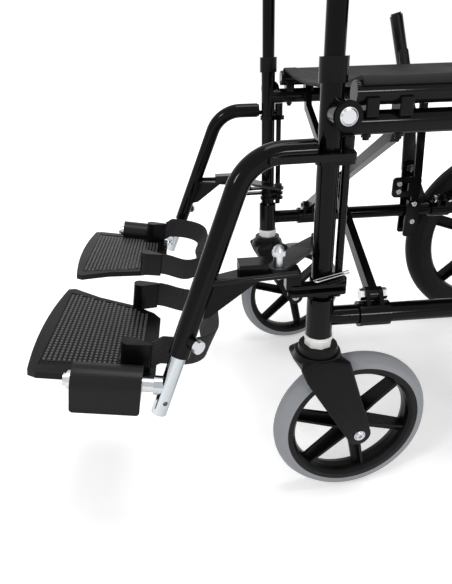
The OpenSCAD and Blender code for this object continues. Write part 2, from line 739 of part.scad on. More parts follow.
// Point on the footplate's hinge axis, at a distance back from its middle
function hinge_axis_at(d) = hinge_c + d * [0, cos(plate_tilt), -sin(plate_tilt)];

// Rod that the footplate turns on, with a washer and a cap at its front end
module plate_rod(s) {
    color(zinc) at_side(s) {
        rod_between(hinge_axis_at(hinge_len / 2 + 11.5), hinge_axis_at(-hinge_len / 2 - 6), plate_rod_r);
        rod_between(hinge_axis_at(-hinge_len / 2 - 0.4), hinge_axis_at(-hinge_len / 2 - 5), 9.5);
        rod_between(hinge_axis_at(-hinge_len / 2 - 5), hinge_axis_at(-hinge_len / 2 - 9), 6.5);
    }
}

// Places a child drawn on the hinge: x outwards, y back along the hinge, z up from the axis
module at_hinge(s) {
    at_side(s) translate(hinge_c) rotate([-plate_tilt, 0, 0]) children();
}

// Footplate: bowed plate with a raised rim, hinge barrel with its skirt, and two heel posts
module footplate(s) {
    top = plate_top;
    x1 = plate_outer_x;
    x0 = x1 - plate_w;
    front = plate_front;
    rear = front + plate_len;
    color(satin_black) at_hinge(s) difference() {
        union() {
            intersection() {
                translate([0, 0, top - plate_t]) linear_extrude(plate_t)
                    polygon([[x1 + 8, front + 8], [x1, front - 9], [x0 + 6, front - 9], [x0 - 1, front + 9],
                             [x0 + 19, front + 46], [x0 + 35, front + 95], [x0 + 52, rear - 10],
                             [x0 + 66, rear], [x1 - 4, rear], [x1 + 8, rear - 14]]);
                translate([(x0 + x1) / 2 + 10, front + bow_r, top - plate_t - 1])
                    cylinder(h = plate_t + 2, r = bow_r + plate_bow, $fn = 240);
            }
            along_hinge(-hinge_len / 2) cylinder(h = barrel_len, r = hinge_r);
            translate([hinge_r - skirt_t, -hinge_len / 2, -skirt + 4])
                cube([skirt_t, barrel_len, skirt - 4]);
            translate([hinge_r - skirt_t + 0.02, -hinge_len / 2, -skirt]) rotate([90, 0, 90])
                link([4, 4], [barrel_len - 4, 4], 4, 3.98, skirt_t - 0.04);
            translate([-hinge_r - 2, -hinge_len / 2, top - plate_t])
                cube([hinge_r + 2, barrel_len, plate_t]);
            heel_post(x1 - 12, 4);
            heel_post(x0 + 34, -4);
        }
        along_hinge(-hinge_len) cylinder(h = 2 * hinge_len, r = plate_rod_r + fit);
        translate([0, 0, top - tread_deep]) linear_extrude(tread_deep + 2) difference() {
            polygon([[x0 + 13, front + 7], [x1 - 6, front + 7], [x1 - 6, rear - 7],
                     [x0 + 68, rear - 7], [x0 + 58, rear - 15], [x0 + 42, front + 93],
                     [x0 + 26, front + 44]]);
            for (p = [[x1 - 12, 4], [x0 + 34, -4]])
                polygon([[p[0] - 11, 3], [p[0] + 11, 3], [p[0] + p[1] + 8, rear], [p[0] + p[1] - 8, rear]]);
        }
    }
}

module along_hinge(y) {
    translate([0, y, 0]) along_y() children();
}

// Teardrop post on the plate that holds one end of the heel strap
module heel_post(x, lean) {
    translate([x, 14, -4]) link([0, 0], [lean, 22], 8.5, 2.6, 36);
}

// Woven heel strap, looped back from one post to the other
module heel_loop(s) {
    t = 2.4;
    x_out = plate_outer_x - 12 + 4;
    x_in = plate_outer_x - plate_w + 34 - 4;
    r = 34;
    y0 = 38.9;
    back = 106;
    mid = [(x_out + x_in) / 2, (back + y0 - r) / 2];
    size = [x_out - x_in + t, back - y0 + r];
    color([0.03, 0.03, 0.03]) at_hinge(s) translate([0, 0, 4]) difference() {
        translate([mid[0], mid[1], 0]) round_loop(size[0], size[1], r, 27);
        translate([mid[0], mid[1], -1]) round_loop(size[0] - 2 * t, size[1] - 2 * t, r - t, 30);
        translate([x_in - 60, -60, -1]) cube([400, y0 + 60, 40]);
    }
}

module round_loop(x, y, r, h) {
    translate([-x / 2 + r, -y / 2, 0]) cube([x - 2 * r, y, h]);
    translate([-x / 2, -y / 2 + r, 0]) cube([x, y - 2 * r, h]);
    for (i = [-1, 1], j = [-1, 1])
        translate([i * (x / 2 - r), j * (y / 2 - r), 0]) cylinder(h = h, r = r);
}

// Cross brace: two bars from one side's foot clamps up to the other side's seat rail.
// The foot is on the +X side, and s = -1 mirrors the whole brace
module brace(s) {
    ys = [brace_y - s * bar_shift, brace_rear_y + s * bar_shift];
    foot = [hw - foot_in, foot_z];
    dir = [-foot[0], pivot_z - foot_z];
    head_x = -hw + 26;
    head = [head_x, pivot_z + dir[1] / dir[0] * head_x];
    color(frame_black) mirror([s < 0 ? 1 : 0, 0, 0]) at_middle() difference() {
        union() {
            for (y = ys) translate([0, y + bar_t / 2, 0]) rotate([90, 0, 0]) {
                link(foot, head, bar_h / 2 - 0.5, bar_h / 2 - 2, bar_t);
                link(head, [-hw + 16, seat_rail_z - 2.5], bar_h / 2 - 1, bar_h / 2 - 2.4, bar_t);
            }
            translate([-hw, rail_front_y, seat_rail_z]) along_y()
                cylinder(h = rail_rear_y - rail_front_y, r = tube_r);
            for (y = ys) translate([0, y + bar_t / 2 - 0.1, pivot_z]) rotate([90, 0, 0])
                cylinder(h = bar_t - 0.2, r = bolt_r + 5);
        }
        for (y = ys) translate([0, y - 10, 0]) {
            translate([foot[0], 0, foot_z]) along_y() cylinder(h = 20, r = bolt_r + fit);
            translate([0, 0, pivot_z]) along_y() cylinder(h = 20, r = bolt_r + fit);
        }
    }
}

// Bolts at the centre of the two crosses
module brace_bolts() {
    reach = bar_t + bar_gap / 2;
    color(zinc) at_middle() for (y = [brace_y, brace_rear_y]) translate([0, y, pivot_z]) along_y() {
        cylinder(h = 2 * reach + 8, r = bolt_r, center = true);
        translate([0, 0, reach + 0.2]) hex_head(head_bolt_r, 5.4);
        translate([0, 0, -reach - 5.6]) hex_head(head_bolt_r, 5.4);
        cylinder(h = bar_gap - 0.2, r = 9, center = true);
    }
}

// Seat sling: a sagging sheet that lies on the seat rails and wraps over them
module seat_sling() {
    n = 24;
    top = seat_rail_z + tube_r + gap;
    half = hw;
    r_in = tube_r + gap;
    r_out = r_in + seat_t;
    over = 60;
    function sag(x) = -seat_sag * (1 - pow(x / half, 2));
    color([0.09, 0.09, 0.1]) at_middle() translate([0, rail_rear_y - 4, 0]) rotate([90, 0, 0])
        linear_extrude(rail_rear_y - rail_front_y - 8) polygon(concat(
            [for (a = [-over : 10 : 0]) [half - r_in * sin(a), seat_rail_z + r_in * cos(a)]],
            [for (i = [1 : n - 1]) let (x = half * (1 - 2 * i / n)) [x, top + sag(x)]],
            [for (a = [0 : 10 : over]) [-half - r_in * sin(a), seat_rail_z + r_in * cos(a)]],
            [for (a = [over : -10 : 0]) [-half - r_out * sin(a), seat_rail_z + r_out * cos(a)]],
            [for (i = [n - 1 : -1 : 1]) let (x = half * (1 - 2 * i / n)) [x, top + seat_t + sag(x)]],
            [for (a = [0 : -10 : -over]) [half - r_out * sin(a), seat_rail_z + r_out * cos(a)]]));
}

// Back sling: a panel between the canes with a sleeve over each
module back_sling() {
    z0 = handle_z - 60 - back_h;
    r_in = tube_r + gap;
    color([0.09, 0.09, 0.1]) at_middle() translate([0, frame_len, z0]) difference() {
        union() {
            translate([-hw, -4.5, 0]) cube([track_w, 9, back_h]);
            for (k = [-1, 1]) translate([k * hw, 0, 0]) cylinder(h = back_h, r = r_in + 2.6);
        }
        for (k = [-1, 1]) translate([k * hw, 0, -1]) cylinder(h = back_h + 2, r = r_in);
    }
}

// Arm: a bridge of tube whose legs slide in the post and in the rear socket
module arm(s) {
    front_bottom = post_top_z - arm_lift - 18;
    rear_bottom = socket_top - arm_lift - 8;
    color(frame_black) at_side(s)
        bent_rod([[0, 0, front_bottom], [0, 0, arm_z], [0, socket_y, arm_z], [0, socket_y, rear_bottom]],
                 arm_r, 42);
}

// Arm pad on top of the arm tube
module arm_pad(s) {
    y0 = 52;
    y1 = socket_y - 40;
    color([0.08, 0.08, 0.085]) at_side(s) translate([0, (y0 + y1) / 2, arm_z + arm_r - 3]) difference() {
        round_block(arm_pad_w, y1 - y0, 26, 12);
        translate([0, -200, -arm_r + 3]) along_y() cylinder(h = 400, r = arm_r + fit);
    }
}

// Push button that frees the arm leg
module arm_button(s) {
    color(zinc) at_side(s) translate([0, button_y, button_z]) along_x() {
        translate([0, 0, boss_face - 3]) cylinder(h = 4, r = button_r);
        translate([0, 0, boss_face + 1]) cylinder(h = 1.6, r1 = button_r - 0.4, r2 = button_r - 2);
        translate([0, 0, arm_r + button_travel + 0.5])
            cylinder(h = boss_face - arm_r - button_travel - 2.5, r = 4);
    }
}

front_post(1);  // left_front_post
front_post(-1);  // right_front_post
low_rail(1);  // left_low_rail
low_rail(-1);  // right_low_rail
top_rail(1);  // left_top_rail
top_rail(-1);  // right_top_rail
cane(1);  // left_cane
cane(-1);  // right_cane
strut(1);  // left_strut
strut(-1);  // right_strut
hinge_rod(1);  // left_hinge_rod
hinge_rod(-1);  // right_hinge_rod
hardware(1);  // left_hardware
hardware(-1);  // right_hardware
grip(1);  // left_grip
grip(-1);  // right_grip
caster_nut(1);  // left_caster_nut
caster_nut(-1);  // right_caster_nut
caster_fork(1, left_caster_turn);  // left_caster_fork
caster_fork(-1, right_caster_turn);  // right_caster_fork
caster_axle(1, left_caster_turn);  // left_caster_axle
caster_axle(-1, right_caster_turn);  // right_caster_axle
caster_rim(1, left_caster_turn);  // left_caster_rim
caster_rim(-1, right_caster_turn);  // right_caster_rim
caster_tyre(1, left_caster_turn);  // left_caster_tyre
caster_tyre(-1, right_caster_turn);  // right_caster_tyre
rear_rim(1);  // left_rear_rim
rear_rim(-1);  // right_rear_rim
rear_tyre(1);  // left_rear_tyre
rear_tyre(-1);  // right_rear_tyre
brake_lever(1);  // left_brake_lever
brake_lever(-1);  // right_brake_lever
hanger_tube(1);  // left_hanger_tube
hanger_tube(-1);  // right_hanger_tube
hanger_bracket(1);  // left_hanger_bracket
hanger_bracket(-1);  // right_hanger_bracket
hanger_bolts(1);  // left_hanger_bolts
hanger_bolts(-1);  // right_hanger_bolts
latch_lever(1);  // left_latch_lever
latch_lever(-1);  // right_latch_lever
extension(1);  // left_extension
extension(-1);  // right_extension
plate_rod(1);  // left_plate_rod
plate_rod(-1);  // right_plate_rod
footplate(1);  // left_footplate
footplate(-1);  // right_footplate
heel_loop(1);  // left_heel_loop
heel_loop(-1);  // right_heel_loop
brace(1);  // brace_a
brace(-1);  // brace_b
brace_bolts();
seat_sling();
back_sling();
arm(1);  // left_arm
arm(-1);  // right_arm
arm_pad(1);  // left_arm_pad
arm_pad(-1);  // right_arm_pad
arm_button(1);  // left_arm_button
arm_button(-1);  // right_arm_button
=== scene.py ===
"""Looks of a folding transport wheelchair, built around its CAD frame.

The chair faces -Y, +X is the sitter's left and Z is up from the floor. Lengths are metres.
"""
import logging
import math
from dataclasses import dataclass, field
from enum import Enum
from typing import Callable, Iterable, Sequence

import bmesh
import bpy
from mathutils import Matrix, Vector

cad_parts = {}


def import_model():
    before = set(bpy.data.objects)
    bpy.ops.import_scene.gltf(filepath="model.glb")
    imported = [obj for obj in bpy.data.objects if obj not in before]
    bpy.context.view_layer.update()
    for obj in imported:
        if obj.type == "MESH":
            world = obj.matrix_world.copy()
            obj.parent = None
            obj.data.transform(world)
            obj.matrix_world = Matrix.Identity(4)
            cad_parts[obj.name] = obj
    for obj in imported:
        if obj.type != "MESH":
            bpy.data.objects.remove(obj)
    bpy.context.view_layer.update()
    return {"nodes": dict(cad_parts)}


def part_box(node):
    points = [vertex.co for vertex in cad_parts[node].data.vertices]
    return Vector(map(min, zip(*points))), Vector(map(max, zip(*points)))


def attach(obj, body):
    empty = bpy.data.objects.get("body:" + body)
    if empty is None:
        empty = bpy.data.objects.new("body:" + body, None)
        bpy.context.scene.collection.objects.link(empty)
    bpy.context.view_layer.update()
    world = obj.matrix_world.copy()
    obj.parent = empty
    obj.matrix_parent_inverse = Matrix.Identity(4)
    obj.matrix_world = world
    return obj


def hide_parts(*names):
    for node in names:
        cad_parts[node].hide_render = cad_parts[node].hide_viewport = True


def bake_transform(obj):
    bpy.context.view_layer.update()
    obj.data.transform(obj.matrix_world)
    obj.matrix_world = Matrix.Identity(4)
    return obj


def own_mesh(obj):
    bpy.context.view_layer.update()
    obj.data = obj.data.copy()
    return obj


LOG = logging.getLogger("wheelchair")
Pair = tuple[float, float]
Point = tuple[float, float, float]
Color = tuple[float, float, float, float]
Spot = Callable[[float, float], Point]
Row = tuple[Pair, Pair]

# Radius of the frame's tubes, and half the distance between the side frames' tubes
TUBE_R = 0.0111
TUBE_HALF = 0.191


class Side(Enum):
    """Side of the chair, with the sign of its X."""

    LEFT = 1
    RIGHT = -1

    @property
    def word(self) -> str:
        """Name of the side as the frame's nodes spell it."""
        return self.name.lower()


def middle_and_size(node: str) -> tuple[Vector, Vector]:
    """Middle and size of a CAD node's box.

    Args:
        node: name of the CAD node.

    Returns:
        The box's middle and its size along X, Y and Z.
    """
    low, high = (Vector(corner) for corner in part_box(node))
    return (low + high) / 2, high - low


class Mesh:
    """Small helpers that shape a new piece with Blender's own operators."""

    @staticmethod
    def clear_selection() -> None:
        """Deselects every object, so that an operator acts on the new piece alone."""
        if bpy.context.object and bpy.context.object.mode != "OBJECT":
            bpy.ops.object.mode_set(mode="OBJECT")
        bpy.ops.object.select_all(action="DESELECT")

    @staticmethod
    def choose(obj: bpy.types.Object) -> None:
        """Selects a piece alone and makes it the active one.

        Args:
            obj: the piece.
        """
        Mesh.clear_selection()
        obj.select_set(True)
        bpy.context.view_layer.objects.active = obj

    @staticmethod
    def take(name: str) -> bpy.types.Object:
        """Names the object that an operator has just added.

        Args:
            name: name for the object and its mesh.

        Returns:
            The active object.
        """
        obj = bpy.context.active_object
        obj.name = name
        obj.data.name = name
        return obj

    @staticmethod
    def settle(obj: bpy.types.Object) -> None:
        """Applies the object's place, turn and scale to its mesh.

        Args:
            obj: the piece.
        """
        Mesh.choose(obj)
        bpy.ops.object.transform_apply(location=True, rotation=True, scale=True)

    @staticmethod
    def apply_modifiers(obj: bpy.types.Object) -> None:
        """Applies every modifier of the piece, first to last.

        Args:
            obj: the piece.
        """
        Mesh.choose(obj)
        for modifier in list(obj.modifiers):
            bpy.ops.object.modifier_apply(modifier=modifier.name)

    @staticmethod
    def face_outwards(obj: bpy.types.Object, merge: float = 0.00001) -> None:
        """Merges doubles and turns every face outwards.

        Args:
            obj: the piece.
            merge: points nearer to each other than this become one.
        """
        Mesh.choose(obj)
        bpy.ops.object.mode_set(mode="EDIT")
        bpy.ops.mesh.select_all(action="SELECT")
        bpy.ops.mesh.remove_doubles(threshold=merge)
        bpy.ops.mesh.normals_make_consistent(inside=False)
        bpy.ops.object.mode_set(mode="OBJECT")

    @staticmethod
    def shade(obj: bpy.types.Object, degrees: float) -> None:
        """Smooth shading with sharp edges past an angle.

        Args:
            obj: the piece.
            degrees: edges that bend by more than this stay sharp.
        """
        Mesh.choose(obj)
        bpy.ops.object.shade_smooth_by_angle(angle=math.radians(degrees))

    @staticmethod
    def select_faces(obj: bpy.types.Object, wanted: Callable[[Vector], bool]) -> None:
        """Goes into edit mode and selects the faces whose middle passes a test.

        Args:
            obj: the piece.
            wanted: says of a face's middle whether the face is selected.
        """
        Mesh.choose(obj)
        bpy.ops.object.mode_set(mode="EDIT")
        bpy.ops.mesh.select_all(action="DESELECT")
        shape = bmesh.from_edit_mesh(obj.data)
        for face in shape.faces:
            face.select_set(wanted(face.calc_center_median()))
        bmesh.update_edit_mesh(obj.data)

    @staticmethod
    def from_grid(name: str, rows: int, columns: int, spot: Spot) -> bpy.types.Object:
        """A sheet whose grid points are placed by a function, with a UV map of the same u and v.

        Args:
            name: name for the piece.
            rows: number of faces along v.
            columns: number of faces along u.
            spot: gives the point for u and v, each from 0 to 1.

        Returns:
            The sheet, with no thickness yet.
        """
        Mesh.clear_selection()
        bpy.ops.mesh.primitive_grid_add(x_subdivisions=columns, y_subdivisions=rows, size=1.0, calc_uvs=True)
        obj = Mesh.take(name)
        for vertex in obj.data.vertices:
            vertex.co = Vector(spot(vertex.co.x + 0.5, vertex.co.y + 0.5))
        return obj

    @staticmethod
    def add_bevel(obj: bpy.types.Object, width: float) -> None:
        """Adds a bevel of two steps along the sharp edges.

        Args:
            obj: the piece.
            width: width of the bevel.
        """
        bevel = obj.modifiers.new("round edges", "BEVEL")
        bevel.width = width
        bevel.segments = 2
        bevel.limit_method = "ANGLE"


class Graph:
    """A shader node tree, with short ways to add its nodes and links."""

    def __init__(self, tree: bpy.types.NodeTree) -> None:
        """Keeps the tree.

        Args:
            tree: tree of a material, a world or a node group.
        """
        self.tree = tree
        self.nodes = tree.nodes

    def add(self, kind: str, inputs: dict | None = None, **settings: object) -> bpy.types.Node:
        """Adds a node.

        Args:
            kind: type of the node, without the ShaderNode before it.
            inputs: what goes into its inputs, by name or number.
            **settings: the node's own settings, such as its operation.

        Returns:
            The node.
        """
        node = self.nodes.new("ShaderNode" + kind)
        for name, value in settings.items():
            setattr(node, name, value)
        self.feed(node, inputs or {})
        return node

    def feed(self, node: bpy.types.Node, inputs: dict) -> None:
        """Links or sets inputs of a node.

        Args:
            node: the node.
            inputs: a socket to link or a value to set, for each input.
        """
        for name, value in inputs.items():
            if isinstance(value, bpy.types.NodeSocket):
                self.tree.links.new(value, node.inputs[name])
            else:
                node.inputs[name].default_value = value

    def math(self, operation: str, *terms: object) -> bpy.types.NodeSocket:
        """Adds a Math node.

        Args:
            operation: what it works out.
            *terms: its inputs in order, sockets or numbers.

        Returns:
            The result's socket.
        """
        return self.add("Math", dict(enumerate(terms)), operation=operation).outputs[0]

    def map_range(self, value: bpy.types.NodeSocket, start: tuple, end: tuple,
                  **settings: object) -> bpy.types.NodeSocket:
        """Adds a Map Range node.

        Args:
            value: what is mapped.
            start: lowest and highest value taken.
            end: lowest and highest value given.
            **settings: the node's own settings.

        Returns:
            The result's socket.
        """
        ends = {"From Min": start[0], "From Max": start[1], "To Min": end[0], "To Max": end[1]}
        return self.add("MapRange", {"Value": value, **ends}, **settings).outputs["Result"]

    def mix(self, mask: bpy.types.NodeSocket, under: object, over: object) -> bpy.types.NodeSocket:
        """Lays a colour over another where the mask is high.

        Args:
            mask: where the upper colour shows.
            under: the colour below, a socket or a value.
            over: the colour above, a socket or a value.

        Returns:
            The mixed colour's socket.
        """
        inputs = {"Factor": mask, "A": under, "B": over}
        return self.add("Mix", inputs, data_type="RGBA").outputs["Result"]


class Group(Graph):
    """A node group with named number inputs and outputs."""

    def __init__(self, name: str, inputs: dict[str, float], outputs: Sequence[str]) -> None:
        """Starts the group.

        Args:
            name: name of the group.
            inputs: names and defaults of its inputs.
            outputs: names of its outputs.
        """
        super().__init__(bpy.data.node_groups.new(name, "ShaderNodeTree"))
        for label, default in inputs.items():
            self._socket(label, "INPUT").default_value = default
        for label in outputs:
            self._socket(label, "OUTPUT")
        self.given = self.nodes.new("NodeGroupInput").outputs
        self.end = self.nodes.new("NodeGroupOutput")

    def _socket(self, label: str, way: str) -> bpy.types.NodeTreeInterfaceSocket:
        """Adds one number socket to the group's face."""
        return self.tree.interface.new_socket(label, in_out=way, socket_type="NodeSocketFloat")


class Effects:
    """Shader node groups that several finishes share."""

    def __init__(self) -> None:
        """Builds each group once."""
        self.grain = self._grain()
        self.weave = self._weave()
        self.wear = self._wear()

    @staticmethod
    def _grain() -> bpy.types.NodeTree:
        """Fine grain with slow mottling, on object coordinates.

        Returns:
            The group, with outputs Height and Mottle.
        """
        group = Group("surface_grain", {"Scale": 900.0, "Mottle scale": 14.0}, ("Height", "Mottle"))
        place = group.add("TexCoord").outputs["Object"]
        fine = group.add("TexNoise", {"Vector": place, "Scale": group.given["Scale"], "Detail": 3.0})
        slow = group.add("TexNoise", {"Vector": place, "Scale": group.given["Mottle scale"],
                                      "Detail": 4.0, "Roughness": 0.6})
        group.feed(group.end, {"Height": fine.outputs["Fac"], "Mottle": slow.outputs["Fac"]})
        return group.tree

    @staticmethod
    def _weave() -> bpy.types.NodeTree:
        """Plain weave of yarns over and under each other, on the piece's UV map in metres.

        Returns:
            The group, with output Height, from 0 in the gaps to 1 on the yarns.
        """
        group = Group("woven_yarns", {"Yarns": 900.0}, ("Height",))
        place = group.add("TexCoord").outputs["UV"]
        scaled = group.add("VectorMath", {0: place, "Scale": group.given["Yarns"]}, operation="SCALE")
        split = group.add("SeparateXYZ", {0: scaled.outputs[0]}).outputs
        waves = [group.math("SINE", group.math("MULTIPLY", split[axis], math.pi)) for axis in ("X", "Y")]
        product = group.math("MULTIPLY", *waves)
        group.feed(group.end, {"Height": group.math("MULTIPLY_ADD", product, 0.5, 0.5)})
        return group.tree

    @staticmethod
    def _wear() -> bpy.types.NodeTree:
        """Mask of worn edges and of dust that gathers low down.

        Returns:
            The group, with outputs Edge and Dust.
        """
        group = Group("wear_and_dust", {"Edge": 0.5, "Dust height": 0.12}, ("Edge", "Dust"))
        sharp = group.map_range(group.add("NewGeometry").outputs["Pointiness"], (0.53, 0.62), (0.0, 1.0))
        place = group.add("TexCoord").outputs["Object"]
        height = group.add("SeparateXYZ", {0: place}).outputs["Z"]
        low = group.map_range(height, (0.0, group.given["Dust height"]), (1.0, 0.0))
        speck = group.add("TexNoise", {"Vector": place, "Scale": 160.0, "Detail": 6.0}).outputs["Fac"]
        group.feed(group.end, {"Edge": group.math("MULTIPLY", sharp, group.given["Edge"]),
                               "Dust": group.math("MULTIPLY", low, speck)})
        return group.tree


# Colour of dust, the part of a noise's range that nearly all of it lies in, and the lowest roughness
DUST_COLOR: Color = (0.26, 0.25, 0.24, 1)
NOISE_SPREAD: Pair = (0.3, 0.7)
LEAST_ROUGHNESS = 0.02


@dataclass(frozen=True)
class Finish:
    """One finish: its plain values and how its surface varies.

    Attributes:
        name: name of the material.
        color: its base colour.
        roughness: its middle roughness.
        metallic: 1 for bare metal.
        specular: strength of the clear reflection.
        grain_scale: how fine the grain is.
        grain_depth: height of the grain.
        mottle: how much lighter and darker the colour gets in slow patches.
        rough_spread: how much the roughness varies in the same patches.
        edge_color: colour of worn edges, or none.
        edge_amount: how much of the worn colour shows.
        dust: how much dust lies low down.
        yarns: yarns in a metre of cloth, or 0 for a plain surface.
        yarn_depth: height of the yarns.
        yarn_highlight_gain: painted highlight, how much lighter a yarn's top is painted than the gap beside
            it.
    """

    name: str
    color: Color
    roughness: float
    metallic: float = 0.0
    specular: float = 0.5
    grain_scale: float = 900.0
    grain_depth: float = 0.00005
    mottle: float = 0.12
    rough_spread: float = 0.08
    edge_color: Color | None = None
    edge_amount: float = 0.5
    dust: float = 0.0
    yarns: float = 0.0
    yarn_depth: float = 0.0002
    yarn_highlight_gain: float = 1.9

    def build(self, effects: Effects) -> bpy.types.Material:
        """Makes the material.

        Args:
            effects: the shared node groups.

        Returns:
            The material, with one Principled shader.
        """
        material = bpy.data.materials.new(self.name)
        material.use_nodes = True
        graph = Graph(material.node_tree)
        grain = graph.add("Group", {"Scale": self.grain_scale}, node_tree=effects.grain).outputs
        color = graph.mix(grain["Mottle"], self._scaled(1.0 - self.mottle), self._scaled(1.0 + self.mottle))
        height, depth = grain["Height"], self.grain_depth
        if self.yarns:
            height = graph.add("Group", {"Yarns": self.yarns}, node_tree=effects.weave).outputs["Height"]
            depth = self.yarn_depth
            # Painted highlight: the tops of the yarns are painted lighter than the gaps, standing in for
            # light glinting on the weave.
            color = graph.mix(height, color, self._scaled(self.yarn_highlight_gain))
        if self.edge_color or self.dust:
            color = self._worn(graph, effects, color)
        ends = (max(LEAST_ROUGHNESS, self.roughness - self.rough_spread),
                min(1.0, self.roughness + self.rough_spread))
        bump = graph.add("Bump", {"Strength": 1.0, "Distance": depth, "Height": height})
        graph.feed(graph.nodes["Principled BSDF"], {
            "Base Color": color, "Metallic": self.metallic, "Specular IOR Level": self.specular,
            "Roughness": graph.map_range(grain["Mottle"], NOISE_SPREAD, ends),
            "Normal": bump.outputs["Normal"]})
        return material

    def _scaled(self, factor: float) -> Color:
        """The finish's colour made lighter or darker.

        Args:
            factor: what the colour is multiplied by.

        Returns:
            The new colour.
        """
        red, green, blue = (min(1.0, part * factor) for part in self.color[:3])
        return red, green, blue, 1.0

    def _worn(self, graph: Graph, effects: Effects, color: bpy.types.NodeSocket) -> bpy.types.NodeSocket:
        """Adds worn edges and dust to a colour.

        Args:
            graph: the material's nodes.
            effects: the shared node groups.
            color: the colour so far.

        Returns:
            The new colour's socket.
        """
        wear = graph.add("Group", {"Edge": self.edge_amount}, node_tree=effects.wear).outputs
        if self.edge_color:
            color = graph.mix(wear["Edge"], color, self.edge_color)
        if self.dust:
            color = graph.mix(graph.math("MULTIPLY", wear["Dust"], self.dust), color, DUST_COLOR)
        return color


FRAME_BLACK = Finish(
    "frame_black_enamel", (0.002, 0.002, 0.0022, 1), 0.11, specular=0.1, grain_scale=260.0,
    grain_depth=0.00002, rough_spread=0.04, edge_color=(0.01, 0.01, 0.011, 1))
MOULDED_BLACK = Finish(
    "moulded_black_nylon", (0.0026, 0.0026, 0.003, 1), 0.31, specular=0.1, grain_scale=1500.0,
    grain_depth=0.00009, edge_color=(0.02, 0.02, 0.021, 1), dust=0.02)
STUD_RUBBER = Finish(
    "studded_plate_rubber", (0.014, 0.0142, 0.015, 1), 0.27, specular=0.45, grain_scale=1800.0,
    grain_depth=0.00006, edge_color=(0.09, 0.09, 0.094, 1), dust=0.02)
LEVER_BLACK = Finish(
    "lever_black_enamel", (0.003, 0.003, 0.0034, 1), 0.22, specular=0.18, grain_scale=400.0,
    edge_color=(0.08, 0.08, 0.085, 1), edge_amount=0.35)
ZINC = Finish(
    "bright_zinc", (0.5, 0.51, 0.53, 1), 0.24, metallic=1.0, grain_scale=700.0,
    grain_depth=0.00004, rough_spread=0.1, edge_color=(0.8, 0.8, 0.82, 1))
CHROME = Finish(
    "chromed_extension", (0.45, 0.48, 0.5, 1), 0.13, metallic=1.0, grain_scale=500.0,
    grain_depth=0.00002, rough_spread=0.05)
TYRE_GREY = Finish(
    "grey_caster_rubber", (0.235, 0.245, 0.262, 1), 0.62, grain_scale=1200.0,
    grain_depth=0.0001, edge_color=(0.3, 0.31, 0.33, 1), edge_amount=0.3, dust=0.16)
TYRE_BLACK = Finish(
    "black_wheel_rubber", (0.0045, 0.0045, 0.005, 1), 0.55, specular=0.12, grain_scale=1000.0,
    grain_depth=0.00012, dust=0.05)
WHITE_NYLON = Finish("white_bearing_nylon", (0.72, 0.72, 0.7, 1), 0.4, mottle=0.04, grain_depth=0.00003)
GRIP_RUBBER = Finish(
    "ribbed_grip_rubber", (0.008, 0.008, 0.009, 1), 0.62, specular=0.25, grain_scale=1400.0,
    grain_depth=0.00012)
# The webbing's yarn tops carry a strong painted highlight, five times its plain colour.
WEBBING = Finish(
    "black_webbing", (0.004, 0.004, 0.0045, 1), 0.7, specular=0.25, mottle=0.2,
    yarns=560.0, yarn_depth=0.0005, yarn_highlight_gain=5.0)
# The sling cloth's yarn tops carry the default painted highlight.
SLING_CLOTH = Finish(
    "black_sling_cloth", (0.006, 0.006, 0.0066, 1), 0.7, specular=0.2, mottle=0.2,
    yarns=700.0, yarn_depth=0.0003)
THREAD = Finish("black_thread", (0.022, 0.022, 0.024, 1), 0.6, grain_scale=2500.0)
PAD_VINYL = Finish(
    "black_pad_vinyl", (0.006, 0.006, 0.0065, 1), 0.44, specular=0.25, grain_scale=650.0,
    grain_depth=0.00025, edge_color=(0.03, 0.03, 0.032, 1))


class Palette:
    """Every finish of the chair as a material, made when it is first asked for."""

    def __init__(self) -> None:
        """Starts with the shared effects and no material."""
        self.effects = Effects()
        self.made: dict[str, bpy.types.Material] = {}

    def of(self, finish: Finish) -> bpy.types.Material:
        """The material of a finish.

        Args:
            finish: the finish.

        Returns:
            Its material.
        """
        if finish.name not in self.made:
            self.made[finish.name] = finish.build(self.effects)
        return self.made[finish.name]

    def paint(self, obj: bpy.types.Object, finish: Finish) -> None:
        """Gives a piece one finish all over.

        Args:
            obj: the piece or CAD node.
            finish: its finish.
        """
        material = self.of(finish)
        if not obj.material_slots:
            obj.data.materials.append(material)
        for slot in obj.material_slots:
            slot.material = material


@dataclass
class CadFinishes:
    """Finishes of the CAD nodes whose shapes show as they are.

    Attributes:
        by_part: finish of each part that both sides have.
        middle: finish of each part in the middle.
    """

    by_part: dict[str, Finish] = field(default_factory=lambda: {
        "front_post": FRAME_BLACK, "low_rail": FRAME_BLACK, "top_rail": FRAME_BLACK, "cane": FRAME_BLACK,
        "strut": FRAME_BLACK, "hinge_rod": FRAME_BLACK, "hardware": ZINC, "grip": GRIP_RUBBER,
        "caster_nut": WHITE_NYLON, "caster_fork": MOULDED_BLACK, "caster_axle": ZINC,
        "caster_rim": MOULDED_BLACK, "caster_tyre": TYRE_GREY, "rear_rim": MOULDED_BLACK,
        "rear_tyre": TYRE_BLACK, "brake_lever": LEVER_BLACK, "hanger_tube": FRAME_BLACK,
        "hanger_bracket": FRAME_BLACK, "hanger_bolts": ZINC, "latch_lever": LEVER_BLACK,
        "extension": CHROME, "plate_rod": ZINC, "footplate": MOULDED_BLACK, "heel_loop": WEBBING,
        "arm": FRAME_BLACK, "arm_pad": PAD_VINYL, "arm_button": ZINC})
    middle: dict[str, Finish] = field(default_factory=lambda: {
        "brace_a": FRAME_BLACK, "brace_b": FRAME_BLACK, "brace_bolts": ZINC,
        "seat_sling": SLING_CLOTH, "back_sling": SLING_CLOTH})

    def apply(self, nodes: dict[str, bpy.types.Object], palette: Palette) -> None:
        """Paints every CAD node.

        Args:
            nodes: the frame's nodes by name.
            palette: the materials.
        """
        finishes = {**self.by_part, **self.middle}
        for name, obj in nodes.items():
            palette.paint(obj, finishes[name.removeprefix("left_").removeprefix("right_")])
        LOG.info("painted %d CAD nodes", len(nodes))


